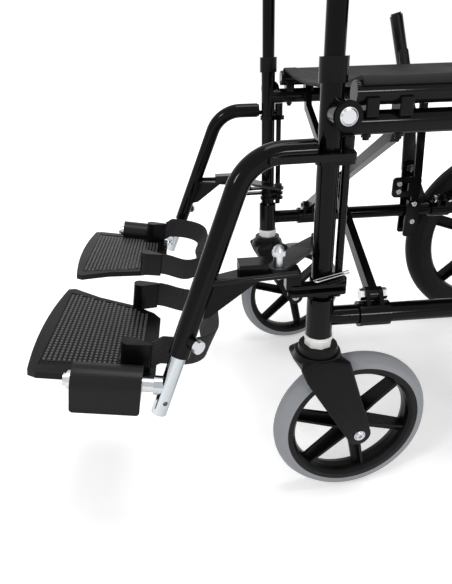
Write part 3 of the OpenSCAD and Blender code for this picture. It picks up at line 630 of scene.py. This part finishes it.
@dataclass
class HingePlace:
    """Where a footplate's hinge is, and how a point on it turns into the row frame.

    Attributes:
        side: the plate's side.
        x: distance of the hinge's axis from the chair's middle.
        y: place along the chair from which points on the hinge are measured.
        z: height of the axis there.
        tilt: how much the hinge drops towards the back, in degrees.
    """

    side: Side
    x: float = 0.240
    y: float = -0.391326
    z: float = 0.2215
    tilt: float = 9.5

    @property
    def axis(self) -> Point:
        """Direction of the hinge, towards the back."""
        turn = math.radians(self.tilt)
        return 0.0, math.cos(turn), -math.sin(turn)

    def point(self, x: float, y: float, z: float) -> Point:
        """Turns a point drawn on the hinge into the row frame.

        Args:
            x: outwards from the hinge's axis.
            y: back along the hinge.
            z: up from the axis.

        Returns:
            The point in the row frame.
        """
        _, level, drop = self.axis
        return self.side.value * (self.x + x), self.y + y * level - z * drop, self.z + y * drop + z * level


@dataclass
class FootplateTread:
    """Raised studs in the sunk field of a footplate.

    Attributes:
        side: the plate's side.
        pitch: distance from one stud to the next.
        stud: width of a stud at its foot.
        top_share: width of its top as a share of that.
        height: its height.
        floor: height of the sunk field.
        field_low: first stud's place, outwards and back from the hinge.
        field_high: furthest place of a stud.
        outline: corners of the sunk field, anticlockwise.
        posts: for each heel post its middle at its front, half its width, and how far it leans at its back.
        post_front: where the posts start.
        post_depth: how far back they reach from there.
        clear_share: room round a stud's middle, as a share of its width.
    """

    side: Side
    pitch: float = 0.0054
    stud: float = 0.0038
    top_share: float = 0.7
    height: float = 0.0019
    floor: float = -0.0029
    field_low: Pair = (-0.199, -0.0765)
    field_high: Pair = (-0.0275, 0.0365)
    outline: tuple[Pair, ...] = (
        (-0.202, -0.080), (-0.026, -0.080), (-0.026, 0.038), (-0.147, 0.038), (-0.157, 0.030),
        (-0.173, 0.006), (-0.189, -0.043))
    posts: tuple[Point, ...] = ((-0.032, 0.0105, 0.004), (-0.181, 0.0105, -0.004))
    post_front: float = 0.003
    post_depth: float = 0.042
    clear_share: float = 0.6

    def build(self, palette: Palette) -> bpy.types.Object:
        """Makes the studs as one piece and rides it on the plate.

        Args:
            palette: the materials.

        Returns:
            The piece.
        """
        place = HingePlace(self.side)
        Mesh.clear_selection()
        bpy.ops.mesh.primitive_cube_add(
            size=1.0, scale=(self.stud, self.stud, self.height),
            location=(*self.field_low, self.floor + self.height / 2))
        obj = Mesh.take(f"{self.side.word}_plate_studs")
        Mesh.settle(obj)
        self._narrow_top(obj)
        for axis in (0, 1):
            array = obj.modifiers.new("repeat", "ARRAY")
            array.count = int((self.field_high[axis] - self.field_low[axis]) / self.pitch)
            array.use_relative_offset = False
            array.use_constant_offset = True
            array.constant_offset_displace = [self.pitch if axis == other else 0.0 for other in range(3)]
        Mesh.apply_modifiers(obj)
        self._trim(obj)
        for vertex in obj.data.vertices:
            vertex.co = Vector(place.point(*vertex.co))
        Mesh.face_outwards(obj)
        palette.paint(obj, STUD_RUBBER)
        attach(obj, f"{self.side.word}_plate")
        return obj

    def _narrow_top(self, obj: bpy.types.Object) -> None:
        """Draws in the top of the first stud.

        Args:
            obj: the stud.
        """
        top = self.floor + self.height
        Mesh.select_faces(obj, lambda middle: abs(middle.z - top) < 1e-6)
        bpy.ops.transform.resize(value=(self.top_share, self.top_share, 1.0))
        bpy.ops.object.mode_set(mode="OBJECT")

    def _is_free(self, x: float, y: float) -> bool:
        """Whether a stud fits at a point: inside the sunk field and clear of both heel posts.

        Args:
            x: the point's place outwards from the hinge's axis.
            y: the point's place back along the hinge.

        Returns:
            True where the whole stud lies in the field.
        """
        room = self.stud * self.clear_share
        for (x0, y0), (x1, y1) in zip(self.outline, self.outline[1:] + self.outline[:1]):
            inside = ((x1 - x0) * (y - y0) - (y1 - y0) * (x - x0)) / math.dist((x0, y0), (x1, y1))
            if inside < room:
                return False
        for post_x, half, lean in self.posts:
            middle = post_x + lean * (y - self.post_front) / self.post_depth
            if y > self.post_front - room and abs(x - middle) < half + room:
                return False
        return True

    def _trim(self, obj: bpy.types.Object) -> None:
        """Removes the studs that do not lie wholly in the sunk field.

        Args:
            obj: the studs.
        """
        def is_outside(middle: Vector) -> bool:
            """Whether the stud that a face belongs to is to go, from the face's middle."""
            x, y = (low + round((value - low) / self.pitch) * self.pitch
                    for value, low in zip(middle.xy, self.field_low))
            return not self._is_free(x, y)

        Mesh.select_faces(obj, is_outside)
        bpy.ops.mesh.delete(type="FACE")
        bpy.ops.object.mode_set(mode="OBJECT")


@dataclass(frozen=True)
class Cloth:
    """One sheet of cloth or webbing.

    Attributes:
        name: name for the piece.
        rows: faces along v.
        columns: faces along u.
        flat: flat size along u and v.
        thick: thickness.
        edge: width of the rounding at its edges, or 0 for none.
        even: keeps the thickness even round tight bends.
        sharp: edges that bend by more degrees than this stay sharp.
    """

    name: str
    rows: int
    columns: int
    flat: Pair
    thick: float
    edge: float = 0.0
    even: bool = False
    sharp: float = 50.0

    def make(self, spot: Spot) -> bpy.types.Object:
        """Makes the sheet, with a UV map in metres so that its weave keeps its size.

        Args:
            spot: places a point of the sheet's middle surface from u and v.

        Returns:
            The sheet with its thickness.
        """
        obj = Mesh.from_grid(self.name, self.rows, self.columns, spot)
        for loop in obj.data.uv_layers.active.data:
            loop.uv = (loop.uv[0] * self.flat[0], loop.uv[1] * self.flat[1])
        wall = obj.modifiers.new("wall", "SOLIDIFY")
        wall.thickness = self.thick
        wall.offset = 0.0
        wall.use_even_offset = self.even
        if self.edge:
            Mesh.add_bevel(obj, self.edge)
        Mesh.apply_modifiers(obj)
        Mesh.face_outwards(obj)
        Mesh.shade(obj, degrees=self.sharp)
        return obj


@dataclass
class HeelStrap:
    """Woven heel strap that loops back from one post of the plate to the other.

    Attributes:
        side: the plate's side.
        outer_x: the strap's middle line at the outer post.
        inner_x: the strap's middle line at the inner post.
        start_y: where the strap leaves the posts.
        rear_y: its furthest point back.
        corner: radius of its two corners.
        straight_steps: points of a straight stretch.
        corner_steps: points of a corner.
        lows: height of the low edge above the hinge at places from 0, the outer post, to 1.
        width: width of the webbing.
        lean: how far its top edge leans outwards at the back, in degrees.
        thick: thickness of the webbing.
        edge: width of the rounding at its edges.
        ripple: height of its slight ripples.
        ripple_rate: how close they lie.
        flip_keep: share of its depth that is left when the plate is flipped up; not used.
    """

    side: Side
    outer_x: float = -0.028
    inner_x: float = -0.185
    start_y: float = 0.0385
    rear_y: float = 0.1046
    corner: float = 0.033
    straight_steps: int = 4
    corner_steps: int = 8
    lows: tuple[Pair, ...] = (
        (0.0, 0.0015), (0.045, 0.009), (0.2, 0.009), (0.53, 0.0072), (0.72, -0.0035),
        (0.85, -0.007), (1.0, -0.001))
    width: float = 0.034
    lean: float = 34.0
    thick: float = 0.0022
    edge: float = 0.0006
    ripple: float = 0.0007
    ripple_rate: float = 23.0
    flip_keep: float = 0.3

    def route(self) -> list[Pair]:
        """Points of the strap's middle line, seen from above.

        Returns:
            Points from the outer post to the inner one.
        """
        radius = self.corner
        corner_y = self.rear_y - radius
        straight = [self.start_y + step * (corner_y - self.start_y) / self.straight_steps
                    for step in range(self.straight_steps + 1)]
        arc = [step * math.pi / 2 / self.corner_steps for step in range(self.corner_steps + 1)]
        points = [(self.outer_x, y) for y in straight]
        points += [(self.outer_x - radius * (1 - math.cos(angle)), corner_y + radius * math.sin(angle))
                   for angle in arc[1:]]
        points += [(self.inner_x + radius * (1 - math.sin(angle)), corner_y + radius * math.cos(angle))
                   for angle in arc]
        return points + [(self.inner_x, y) for y in reversed(straight[:-1])]

    def low_edge(self, u: float) -> float:
        """Height of the strap's low edge above the hinge.

        Args:
            u: place along the strap, 0 at the outer post and 1 at the inner one.

        Returns:
            The height, eased from one listed value to the next.
        """
        for (u0, z0), (u1, z1) in zip(self.lows, self.lows[1:]):
            if u <= u1:
                ease = (1 - math.cos(math.pi * (u - u0) / (u1 - u0))) / 2
                return z0 + ease * (z1 - z0)
        return self.lows[-1][1]

    def build(self, palette: Palette) -> bpy.types.Object:
        """Makes the strap and rides it on the plate.

        Args:
            palette: the materials.

        Returns:
            The strap.
        """
        word = self.side.word
        place = HingePlace(self.side)
        route = self.route()
        lengths = [0.0]
        for first, second in zip(route, route[1:]):
            lengths.append(lengths[-1] + math.dist(first, second))

        def spot(u: float, v: float) -> Point:
            """Point of the strap.

            Args:
                u: place along it, from 0 to 1.
                v: place up its width, from 0 to 1.

            Returns:
                The point in the row frame.
            """
            along = u * lengths[-1]
            index = max(i for i, length in enumerate(lengths[:-1]) if length <= along + 1e-9)
            span = lengths[index + 1] - lengths[index]
            part = (along - lengths[index]) / span
            (x0, y0), (x1, y1) = route[index], route[index + 1]
            out_x, out_y = (y1 - y0) / span, (x0 - x1) / span
            angle = math.radians(self.lean) * math.sin(math.pi * u) ** 4
            rise = (v - 0.5) * self.width
            ripple = self.ripple * math.sin(u * self.ripple_rate) * math.sin(math.pi * u)
            away = rise * math.sin(angle) + ripple
            up = self.low_edge(u) + self.width / 2 + rise * math.cos(angle)
            x, y = x0 + part * (x1 - x0) + away * out_x, y0 + part * (y1 - y0) + away * out_y
            return place.point(x, y, up)

        cloth = Cloth(f"{word}_heel_strap", rows=6, columns=72, flat=(lengths[-1], self.width),
                      thick=self.thick, edge=self.edge, even=True)
        obj = cloth.make(spot)
        palette.paint(obj, WEBBING)
        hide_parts(f"{word}_heel_loop")
        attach(obj, f"{word}_plate")
        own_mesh(obj)
        LOG.info("heel strap of %.3f m", lengths[-1])
        return obj


@dataclass(frozen=True)
class Stitching:
    """Rows of stitches that lie on both faces of a cloth.

    Attributes:
        pitch: distance from one stitch to the next.
        length: length of a stitch.
        width: its width.
        height: its height.
        from_edge: distance of the outer row from the cloth's edge.
        in_hem: distance of the inner row from the hem's inner end.
        ends: share of the cloth's height at which the side rows start and end.
        samples: steps in which a row's length is measured.
        along_share: share of the pitch to each side over which a stitch's direction is taken.
        across_step: step across the row by which the cloth's normal is found, as a share of the row.
    """

    pitch: float = 0.0046
    length: float = 0.0033
    width: float = 0.00085
    height: float = 0.0006
    from_edge: float = 0.004
    in_hem: float = 0.003
    ends: float = 0.02
    samples: int = 40
    along_share: float = 0.4
    across_step: float = 0.01

    def rows(self, flat: Pair, hem: float, side: float, channel: float) -> list[Row]:
        """Two rows along each hem and one row along each side.

        Args:
            flat: the cloth's flat width and height.
            hem: height of both hems.
            side: distance of the hem rows' ends from the cloth's sides.
            channel: distance of the side rows from the cloth's sides.

        Returns:
            Start and end of each row, as u and v.
        """
        width, height = flat
        outer, inner = self.from_edge / height, (hem - self.in_hem) / height
        hems = [((side / width, v), (1 - side / width, v)) for v in (outer, inner, 1 - inner, 1 - outer)]
        sides = [((u, self.ends), (u, 1 - self.ends)) for u in (channel / width, 1 - channel / width)]
        return hems + sides

    def sew(self, name: str, spot: Spot, rows: Sequence[Row], thick: float) -> bpy.types.Object:
        """Makes every row as one piece.

        Args:
            name: name for the piece.
            spot: places a point of the cloth's middle surface from u and v.
            rows: start and end of each row, as u and v.
            thick: the cloth's thickness.

        Returns:
            The stitches, ready to be painted.
        """
        Mesh.clear_selection()
        bpy.ops.mesh.primitive_uv_sphere_add(segments=6, ring_count=4, radius=0.5)
        obj = Mesh.take(name)
        points = [vertex.co.copy() for vertex in obj.data.vertices]
        faces = [tuple(face.vertices) for face in obj.data.polygons]
        places = [place for start, end in rows
                  for place in self._places(spot, Vector(start), Vector(end), thick)]
        mesh = bpy.data.meshes.new(name)
        mesh.from_pydata([place @ point for place in places for point in points], [],
                         [tuple(index + step * len(points) for index in face)
                          for step in range(len(places)) for face in faces])
        obj.data = mesh
        Mesh.shade(obj, degrees=80)
        return obj

    def _places(self, spot: Spot, start: Vector, end: Vector, thick: float) -> list[Matrix]:
        """Place, turn and size of each stitch of one row, on both faces.

        Args:
            spot: places a point of the cloth's middle surface from u and v.
            start: the row's start, as u and v.
            end: the row's end, as u and v.
            thick: the cloth's thickness.

        Returns:
            One matrix for each stitch.
        """
        line = [Vector(spot(*start.lerp(end, step / self.samples))) for step in range(self.samples + 1)]
        count = int(sum((b - a).length for a, b in zip(line, line[1:])) / self.pitch)
        across = Vector((-(end - start).y, (end - start).x)) * self.across_step
        step = (end - start) * self.along_share / count
        size = Matrix.Diagonal((self.length, self.width, self.height, 1.0))
        places = []
        for index in range(count):
            here = start.lerp(end, (index + 0.5) / count)
            along = (Vector(spot(*(here + step))) - Vector(spot(*(here - step)))).normalized()
            side = Vector(spot(*(here + across))) - Vector(spot(*(here - across)))
            normal = along.cross(side).normalized()
            turn = Matrix((along, normal.cross(along), normal)).transposed().to_4x4()
            for face in (-1, 1):
                middle = Vector(spot(*here)) + normal * (face * thick / 2)
                places.append(Matrix.Translation(middle) @ turn @ size)
        return places


@dataclass
class SeatCloth:
    """Seat sling: a sagging cloth wrapped over both seat rails, with hems and stitching.

    Attributes:
        sag: how far its middle hangs below its sides.
        thick: thickness of the cloth.
        edge: width of the rounding at its edges.
        lift: gap between the rail and the cloth.
        solid_thick: thickness of the CAD sling above the rails.
        inset: how much shorter it is than the CAD sling at each end.
        wrap: how far it goes round each rail, in degrees.
        crease: height of its creases.
        crease_rate: how close they lie.
        crease_start: where they start.
        hem: height of both hems.
        hem_rise: how much a hem stands up from the cloth.
        hem_side: distance of the hem rows' ends from the cloth's sides.
        channel: distance of the side rows from the middle of the rail.
        turn_in: how far inside the rails' axes the bending between the braces starts; not used.
    """

    sag: float = 0.016
    thick: float = 0.0034
    edge: float = 0.0012
    lift: float = 0.00032
    solid_thick: float = 0.004
    inset: float = 0.001
    wrap: float = 58.0
    crease: float = 0.0011
    crease_rate: float = 19.0
    crease_start: float = 0.7
    hem: float = 0.021
    hem_rise: float = 0.0007
    hem_side: float = 0.01
    channel: float = 0.022
    turn_in: float = 0.012

    def build(self, palette: Palette) -> bpy.types.Object:
        """Makes the cloth, wrapped over both seat rails and sagging between them.

        Args:
            palette: the materials.

        Returns:
            The cloth.
        """
        low, high = (Vector(corner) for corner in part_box("seat_sling"))
        front, back = low.y + self.inset, high.y - self.inset
        depth = back - front
        rail_z = high.z - self.solid_thick - self.lift - TUBE_R
        reach = TUBE_R + self.lift + self.thick / 2
        wrap = math.radians(self.wrap)
        arc = reach * wrap
        span = 2 * TUBE_HALF
        total = span + 2 * arc

        def spot(u: float, v: float) -> Point:
            """Point of the cloth.

            Args:
                u: place across it, from 0 to 1.
                v: place back along it, from 0 to 1.

            Returns:
                The point in the row frame.
            """
            along = u * total
            y = front + v * depth
            if along < arc or along > arc + span:
                side = -1 if along < arc else 1
                angle = wrap * ((arc - along) / arc if side < 0 else (along - arc - span) / arc)
                return side * (TUBE_HALF + reach * math.sin(angle)), y, rail_z + reach * math.cos(angle)
            x = along - arc - TUBE_HALF
            wave = math.sin(v * self.crease_rate + self.crease_start)
            rise = self.crease * wave * math.sin(math.pi * u) ** 2
            rise += self.hem_rise * (min(v, 1 - v) * depth < self.hem)
            return x, y, rail_z + reach - self.sag * (1 - (x / TUBE_HALF) ** 2) + rise

        cloth = Cloth("seat_cloth", rows=110, columns=84, flat=(total, depth),
                      thick=self.thick, edge=self.edge)
        obj = cloth.make(spot)
        palette.paint(obj, SLING_CLOTH)
        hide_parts("seat_sling")
        stitching = Stitching()
        rows = stitching.rows((total, depth), self.hem, self.hem_side, arc + self.channel)
        seam = stitching.sew("seat_stitches", spot, rows, self.thick)
        palette.paint(seam, THREAD)
        for piece in (obj, seam):
            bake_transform(piece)
        return obj


@dataclass
class BackCloth:
    """Back sling: a panel between two sleeves, each of which wraps round its push cane.

    Attributes:
        thick: thickness of the cloth.
        lift: gap between the cane and the cloth.
        inset: how much shorter it is than the CAD sling at each end.
        bulge: how far the panel bellies back.
        bulge_ends: share of the bulge that is left at its top and bottom.
        crease: height of its creases.
        crease_rates: how close they lie up the panel and across it.
        wrap: how far a sleeve goes round its cane, in degrees.
        closing: how much nearer the canes come to each other when the chair is folded; not used.
        hem: height of both hems.
        hem_rise: how much a hem stands up from the cloth.
        hem_side: distance of the stitches from the panel's sides.
    """

    thick: float = 0.0028
    lift: float = 0.0003
    inset: float = 0.001
    bulge: float = 0.012
    bulge_ends: float = 0.35
    crease: float = 0.0008
    crease_rates: Pair = (21.0, 9.0)
    wrap: float = 300.0
    closing: float = 0.1619
    hem: float = 0.024
    hem_rise: float = 0.0008
    hem_side: float = 0.009

    @property
    def reach(self) -> float:
        """Distance from a cane's axis to the middle of the cloth round it."""
        return TUBE_R + self.lift + self.thick / 2

    def build(self, palette: Palette) -> list[bpy.types.Object]:
        """Makes the panel and the two sleeves.

        Args:
            palette: the materials.

        Returns:
            The panel, its stitches and both sleeves.
        """
        low, high = (Vector(corner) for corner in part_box("back_sling"))
        panel, seam = self._panel(low, high)
        palette.paint(panel, SLING_CLOTH)
        palette.paint(seam, THREAD)
        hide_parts("back_sling")
        for piece in (panel, seam):
            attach(piece, "left_frame")
            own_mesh(piece)
        made = [panel, seam]
        for side in Side:
            sleeve = self._sleeve(side, low, high)
            palette.paint(sleeve, SLING_CLOTH)
            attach(sleeve, f"{side.word}_frame")
            made.append(sleeve)
        return made

    def _height(self, low: Vector, high: Vector, v: float) -> float:
        """Height of a point of the cloth.

        Args:
            low: lowest corner of the sling's box.
            high: highest corner of the sling's box.
            v: the point's place up the cloth, from 0 to 1.

        Returns:
            The height above the floor.
        """
        return low.z + self.inset + v * (high.z - low.z - 2 * self.inset)

    def _panel(self, low: Vector, high: Vector) -> tuple[bpy.types.Object, bpy.types.Object]:
        """Makes the panel between the canes, bellied back and lightly creased.

        Args:
            low: lowest corner of the sling's box.
            high: highest corner of the sling's box.

        Returns:
            The panel and its stitches.
        """
        middle_y = (low.y + high.y) / 2
        width, tall = 2 * (TUBE_HALF - self.reach), high.z - low.z

        def spot(u: float, v: float) -> Point:
            """Point of the panel.

            Args:
                u: place across it, from 0 to 1.
                v: place up it, from 0 to 1.

            Returns:
                The point in the row frame.
            """
            x = (u - 0.5) * width
            fall = math.cos(math.pi * x / width)
            belly = self.bulge_ends + (1 - self.bulge_ends) * math.sin(math.pi * v)
            crease = self.crease * math.sin(v * self.crease_rates[0] + x * self.crease_rates[1])
            hem = self.hem_rise * (min(v, 1 - v) * tall < self.hem)
            return x, middle_y + fall * (self.bulge * belly + crease) + hem, self._height(low, high, v)

        stitching = Stitching()
        rows = stitching.rows((width, tall), self.hem, self.hem_side, self.hem_side)
        seam = stitching.sew("back_stitches", spot, rows, self.thick)
        cloth = Cloth("back_cloth", rows=110, columns=90, flat=(width, tall), thick=self.thick)
        return cloth.make(spot), seam

    def _sleeve(self, side: Side, low: Vector, high: Vector) -> bpy.types.Object:
        """Makes the sleeve round one cane.

        Args:
            side: the cane's side.
            low: lowest corner of the sling's box.
            high: highest corner of the sling's box.

        Returns:
            The sleeve.
        """
        middle_y = (low.y + high.y) / 2
        turn = math.radians(self.wrap)

        def spot(u: float, v: float) -> Point:
            """Point of the sleeve.

            Args:
                u: place round the cane, from 0 to 1.
                v: place up it, from 0 to 1.

            Returns:
                The point in the row frame.
            """
            x = side.value * (TUBE_HALF - self.reach * math.cos(turn * u))
            return x, middle_y - self.reach * math.sin(turn * u), self._height(low, high, v)

        flat = (self.reach * turn, high.z - low.z)
        cloth = Cloth(f"{side.word}_back_sleeve", rows=24, columns=40, flat=flat, thick=self.thick)
        return cloth.make(spot)


@dataclass
class ArmPad:
    """Padded vinyl arm rest with a crowned top and sides that draw in below.

    Attributes:
        side: the arm's side.
        inset: how much smaller it is than the CAD pad, all over.
        cuts: cuts across each face before it is shaped.
        crown: how far the top's long edges lie below its middle.
        draw_in: share by which the sides draw in at the bottom.
        edge: width of the rounding at its edges.
        fill: how full of padding it is; not used.
    """

    side: Side
    inset: float = 0.001
    cuts: int = 5
    crown: float = 0.005
    draw_in: float = 0.12
    edge: float = 0.004
    fill: float = 0.9

    def build(self, palette: Palette) -> bpy.types.Object:
        """Makes the pad and rides it on the arm.

        Args:
            palette: the materials.

        Returns:
            The pad.
        """
        middle, size = middle_and_size(f"{self.side.word}_arm_pad")
        Mesh.clear_selection()
        scale = [part - self.inset for part in size]
        bpy.ops.mesh.primitive_cube_add(size=1.0, location=middle, scale=scale)
        obj = Mesh.take(f"{self.side.word}_arm_cushion")
        Mesh.settle(obj)
        bpy.ops.object.mode_set(mode="EDIT")
        bpy.ops.mesh.select_all(action="SELECT")
        bpy.ops.mesh.subdivide(number_cuts=self.cuts)
        bpy.ops.object.mode_set(mode="OBJECT")
        for vertex in obj.data.vertices:
            away = vertex.co - middle
            if away.z > 0:
                vertex.co.z -= min((2 * away.x / size.x) ** 2, 1) * self.crown
            else:
                vertex.co.x += away.x * self.draw_in * (2 * away.z / size.z)
        Mesh.add_bevel(obj, self.edge)
        smooth = obj.modifiers.new("smooth", "SUBSURF")
        smooth.levels = 2
        smooth.render_levels = 2
        Mesh.apply_modifiers(obj)
        Mesh.face_outwards(obj)
        Mesh.shade(obj, degrees=60)
        palette.paint(obj, PAD_VINYL)
        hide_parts(f"{self.side.word}_arm_pad")
        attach(obj, f"{self.side.word}_armrest")
        return obj


@dataclass(frozen=True)
class Lamp:
    """A square soft light that is aimed at the chair.

    Attributes:
        name: name of the light.
        place: where it hangs.
        size: length of its sides.
        power: its power in watts.
        aim: the point it looks at.
    """

    name: str
    place: Point
    size: float
    power: float
    aim: Point = (0.1, -0.1, 0.3)

    def hang(self) -> None:
        """Adds the light to the scene."""
        data = bpy.data.lights.new(self.name, "AREA")
        data.energy = self.power
        data.size = self.size
        lamp = bpy.data.objects.new(self.name, data)
        lamp.location = self.place
        lamp.rotation_euler = (Vector(self.aim) - Vector(self.place)).to_track_quat("-Z", "Y").to_euler()
        bpy.context.collection.objects.link(lamp)


@dataclass
class Studio:
    """Pale floor, soft lights and the camera at the photograph's view.

    Attributes:
        image_w: width of the picture in pixels.
        image_h: height of the picture in pixels.
        focal_px: the camera's focal length in pixels.
        principal_x: where its axis meets the picture, from the left.
        principal_y: where its axis meets the picture, from the top.
        eye: where the camera is.
        yaw: how far it is turned from looking along -X, in radians.
        pitch: how far it looks down, in radians.
        roll: how far it is turned about its own axis, in radians.
        floor_size: length of the floor's sides.
        floor_drop: how far the floor lies below the wheels.
        glow_near: glow of the floor under the chair.
        glow_far: glow of the floor far from it.
        fade: distances at which the glow starts and stops to grow.
        world_light: strength of the world on the chair.
        lamps: the lights.
    """

    image_w: int = 452
    image_h: int = 584
    focal_px: float = 488.31
    principal_x: float = 226.62
    principal_y: float = 290.43
    eye: Point = (0.66509, -0.29470, 0.52179)
    yaw: float = 0.0629
    pitch: float = 0.4453
    roll: float = -0.034
    floor_size: float = 30.0
    floor_drop: float = 0.0005
    glow_near: float = 0.34
    glow_far: float = 0.75
    fade: Pair = (0.35, 2.4)
    world_light: float = 0.55
    lamps: tuple[Lamp, ...] = (
        Lamp("top_box", (0.1, 0.1, 3.2), 1.5, 52.0),
        Lamp("front_box", (1.75, -2.2, 2.0), 0.45, 26.0),
        Lamp("rear_box", (-0.6, 2.8, 1.9), 0.7, 20.0),
        Lamp("side_box", (2.9, 0.9, 1.2), 0.35, 15.0))

    def build(self) -> None:
        """Makes the floor, the lights, the world and the camera."""
        self._floor()
        self._world()
        for lamp in self.lamps:
            lamp.hang()
        self._camera()
        bpy.context.scene.view_settings.view_transform = "Standard"

    def _floor(self) -> None:
        """Makes a wide pale floor that glows a little to the camera and still takes the shadow."""
        Mesh.clear_selection()
        bpy.ops.mesh.primitive_plane_add(size=self.floor_size, location=(0, 0, -self.floor_drop))
        floor = Mesh.take("studio_floor")
        material = bpy.data.materials.new("studio_floor")
        material.use_nodes = True
        graph = Graph(material.node_tree)
        shader = graph.nodes["Principled BSDF"]
        graph.feed(shader, {"Base Color": (0.86, 0.86, 0.86, 1), "Roughness": 0.6,
                            "Specular IOR Level": 0.15})
        ray = graph.add("LightPath").outputs
        place = graph.add("TexCoord").outputs["Object"]
        distance = graph.add("VectorMath", {0: place}, operation="LENGTH").outputs["Value"]
        fade = graph.map_range(distance, self.fade, (self.glow_near, self.glow_far),
                               interpolation_type="SMOOTHSTEP")
        seen = graph.math("MAXIMUM", ray["Is Camera Ray"], ray["Is Glossy Ray"])
        glow = graph.add("Emission", {"Color": (1, 1, 1, 1), "Strength": graph.math("MULTIPLY", seen, fade)})
        both = graph.add("AddShader", {0: shader.outputs[0], 1: glow.outputs[0]})
        graph.feed(graph.nodes["Material Output"], {"Surface": both.outputs[0]})
        floor.data.materials.append(material)

    def _world(self) -> None:
        """Makes the world white to the camera and in reflections, and a plain soft light elsewhere."""
        world = bpy.data.worlds.new("studio_world")
        bpy.context.scene.world = world
        world.use_nodes = True
        graph = Graph(world.node_tree)
        ray = graph.add("LightPath").outputs
        seen = graph.math("MAXIMUM", ray["Is Camera Ray"], ray["Is Glossy Ray"])
        seen = graph.math("MAXIMUM", seen, ray["Is Transmission Ray"])
        strength = graph.map_range(seen, (0.0, 1.0), (self.world_light, 1.0))
        graph.feed(graph.nodes["Background"], {"Color": (1, 1, 1, 1), "Strength": strength})

    def _camera(self) -> None:
        """Places the photograph's camera."""
        level = math.cos(self.pitch)
        forward = Vector((-math.cos(self.yaw) * level, math.sin(self.yaw) * level, -math.sin(self.pitch)))
        right = Vector((math.sin(self.yaw), math.cos(self.yaw), 0))
        up = right.cross(forward)
        turned_right = right * math.cos(self.roll) + up * math.sin(self.roll)
        turned_up = up * math.cos(self.roll) - right * math.sin(self.roll)
        data = bpy.data.cameras.new("camera")
        long_side = max(self.image_w, self.image_h)
        data.sensor_width = 36.0
        data.lens = self.focal_px / long_side * data.sensor_width
        data.shift_x = (self.image_w / 2 - self.principal_x) / long_side
        data.shift_y = (self.principal_y - self.image_h / 2) / long_side
        data.clip_start = 0.01
        camera = bpy.data.objects.new("camera", data)
        axes = Matrix((turned_right, turned_up, -forward)).transposed().to_4x4()
        camera.matrix_world = Matrix.Translation(self.eye) @ axes
        bpy.context.collection.objects.link(camera)
        bpy.context.scene.camera = camera


def main() -> None:
    """Builds the chair's looks around the CAD frame."""
    logging.basicConfig(level=logging.INFO, format="%(message)s")
    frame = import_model()
    palette = Palette()
    CadFinishes().apply(frame["nodes"], palette)
    pieces = [SeatCloth(), BackCloth()]
    for side in Side:
        pieces += [FootplateTread(side), HeelStrap(side), ArmPad(side)]
    for piece in pieces:
        piece.build(palette)
        LOG.info("built %s", piece)
    Studio().build()


if __name__ == "__main__":
    main()
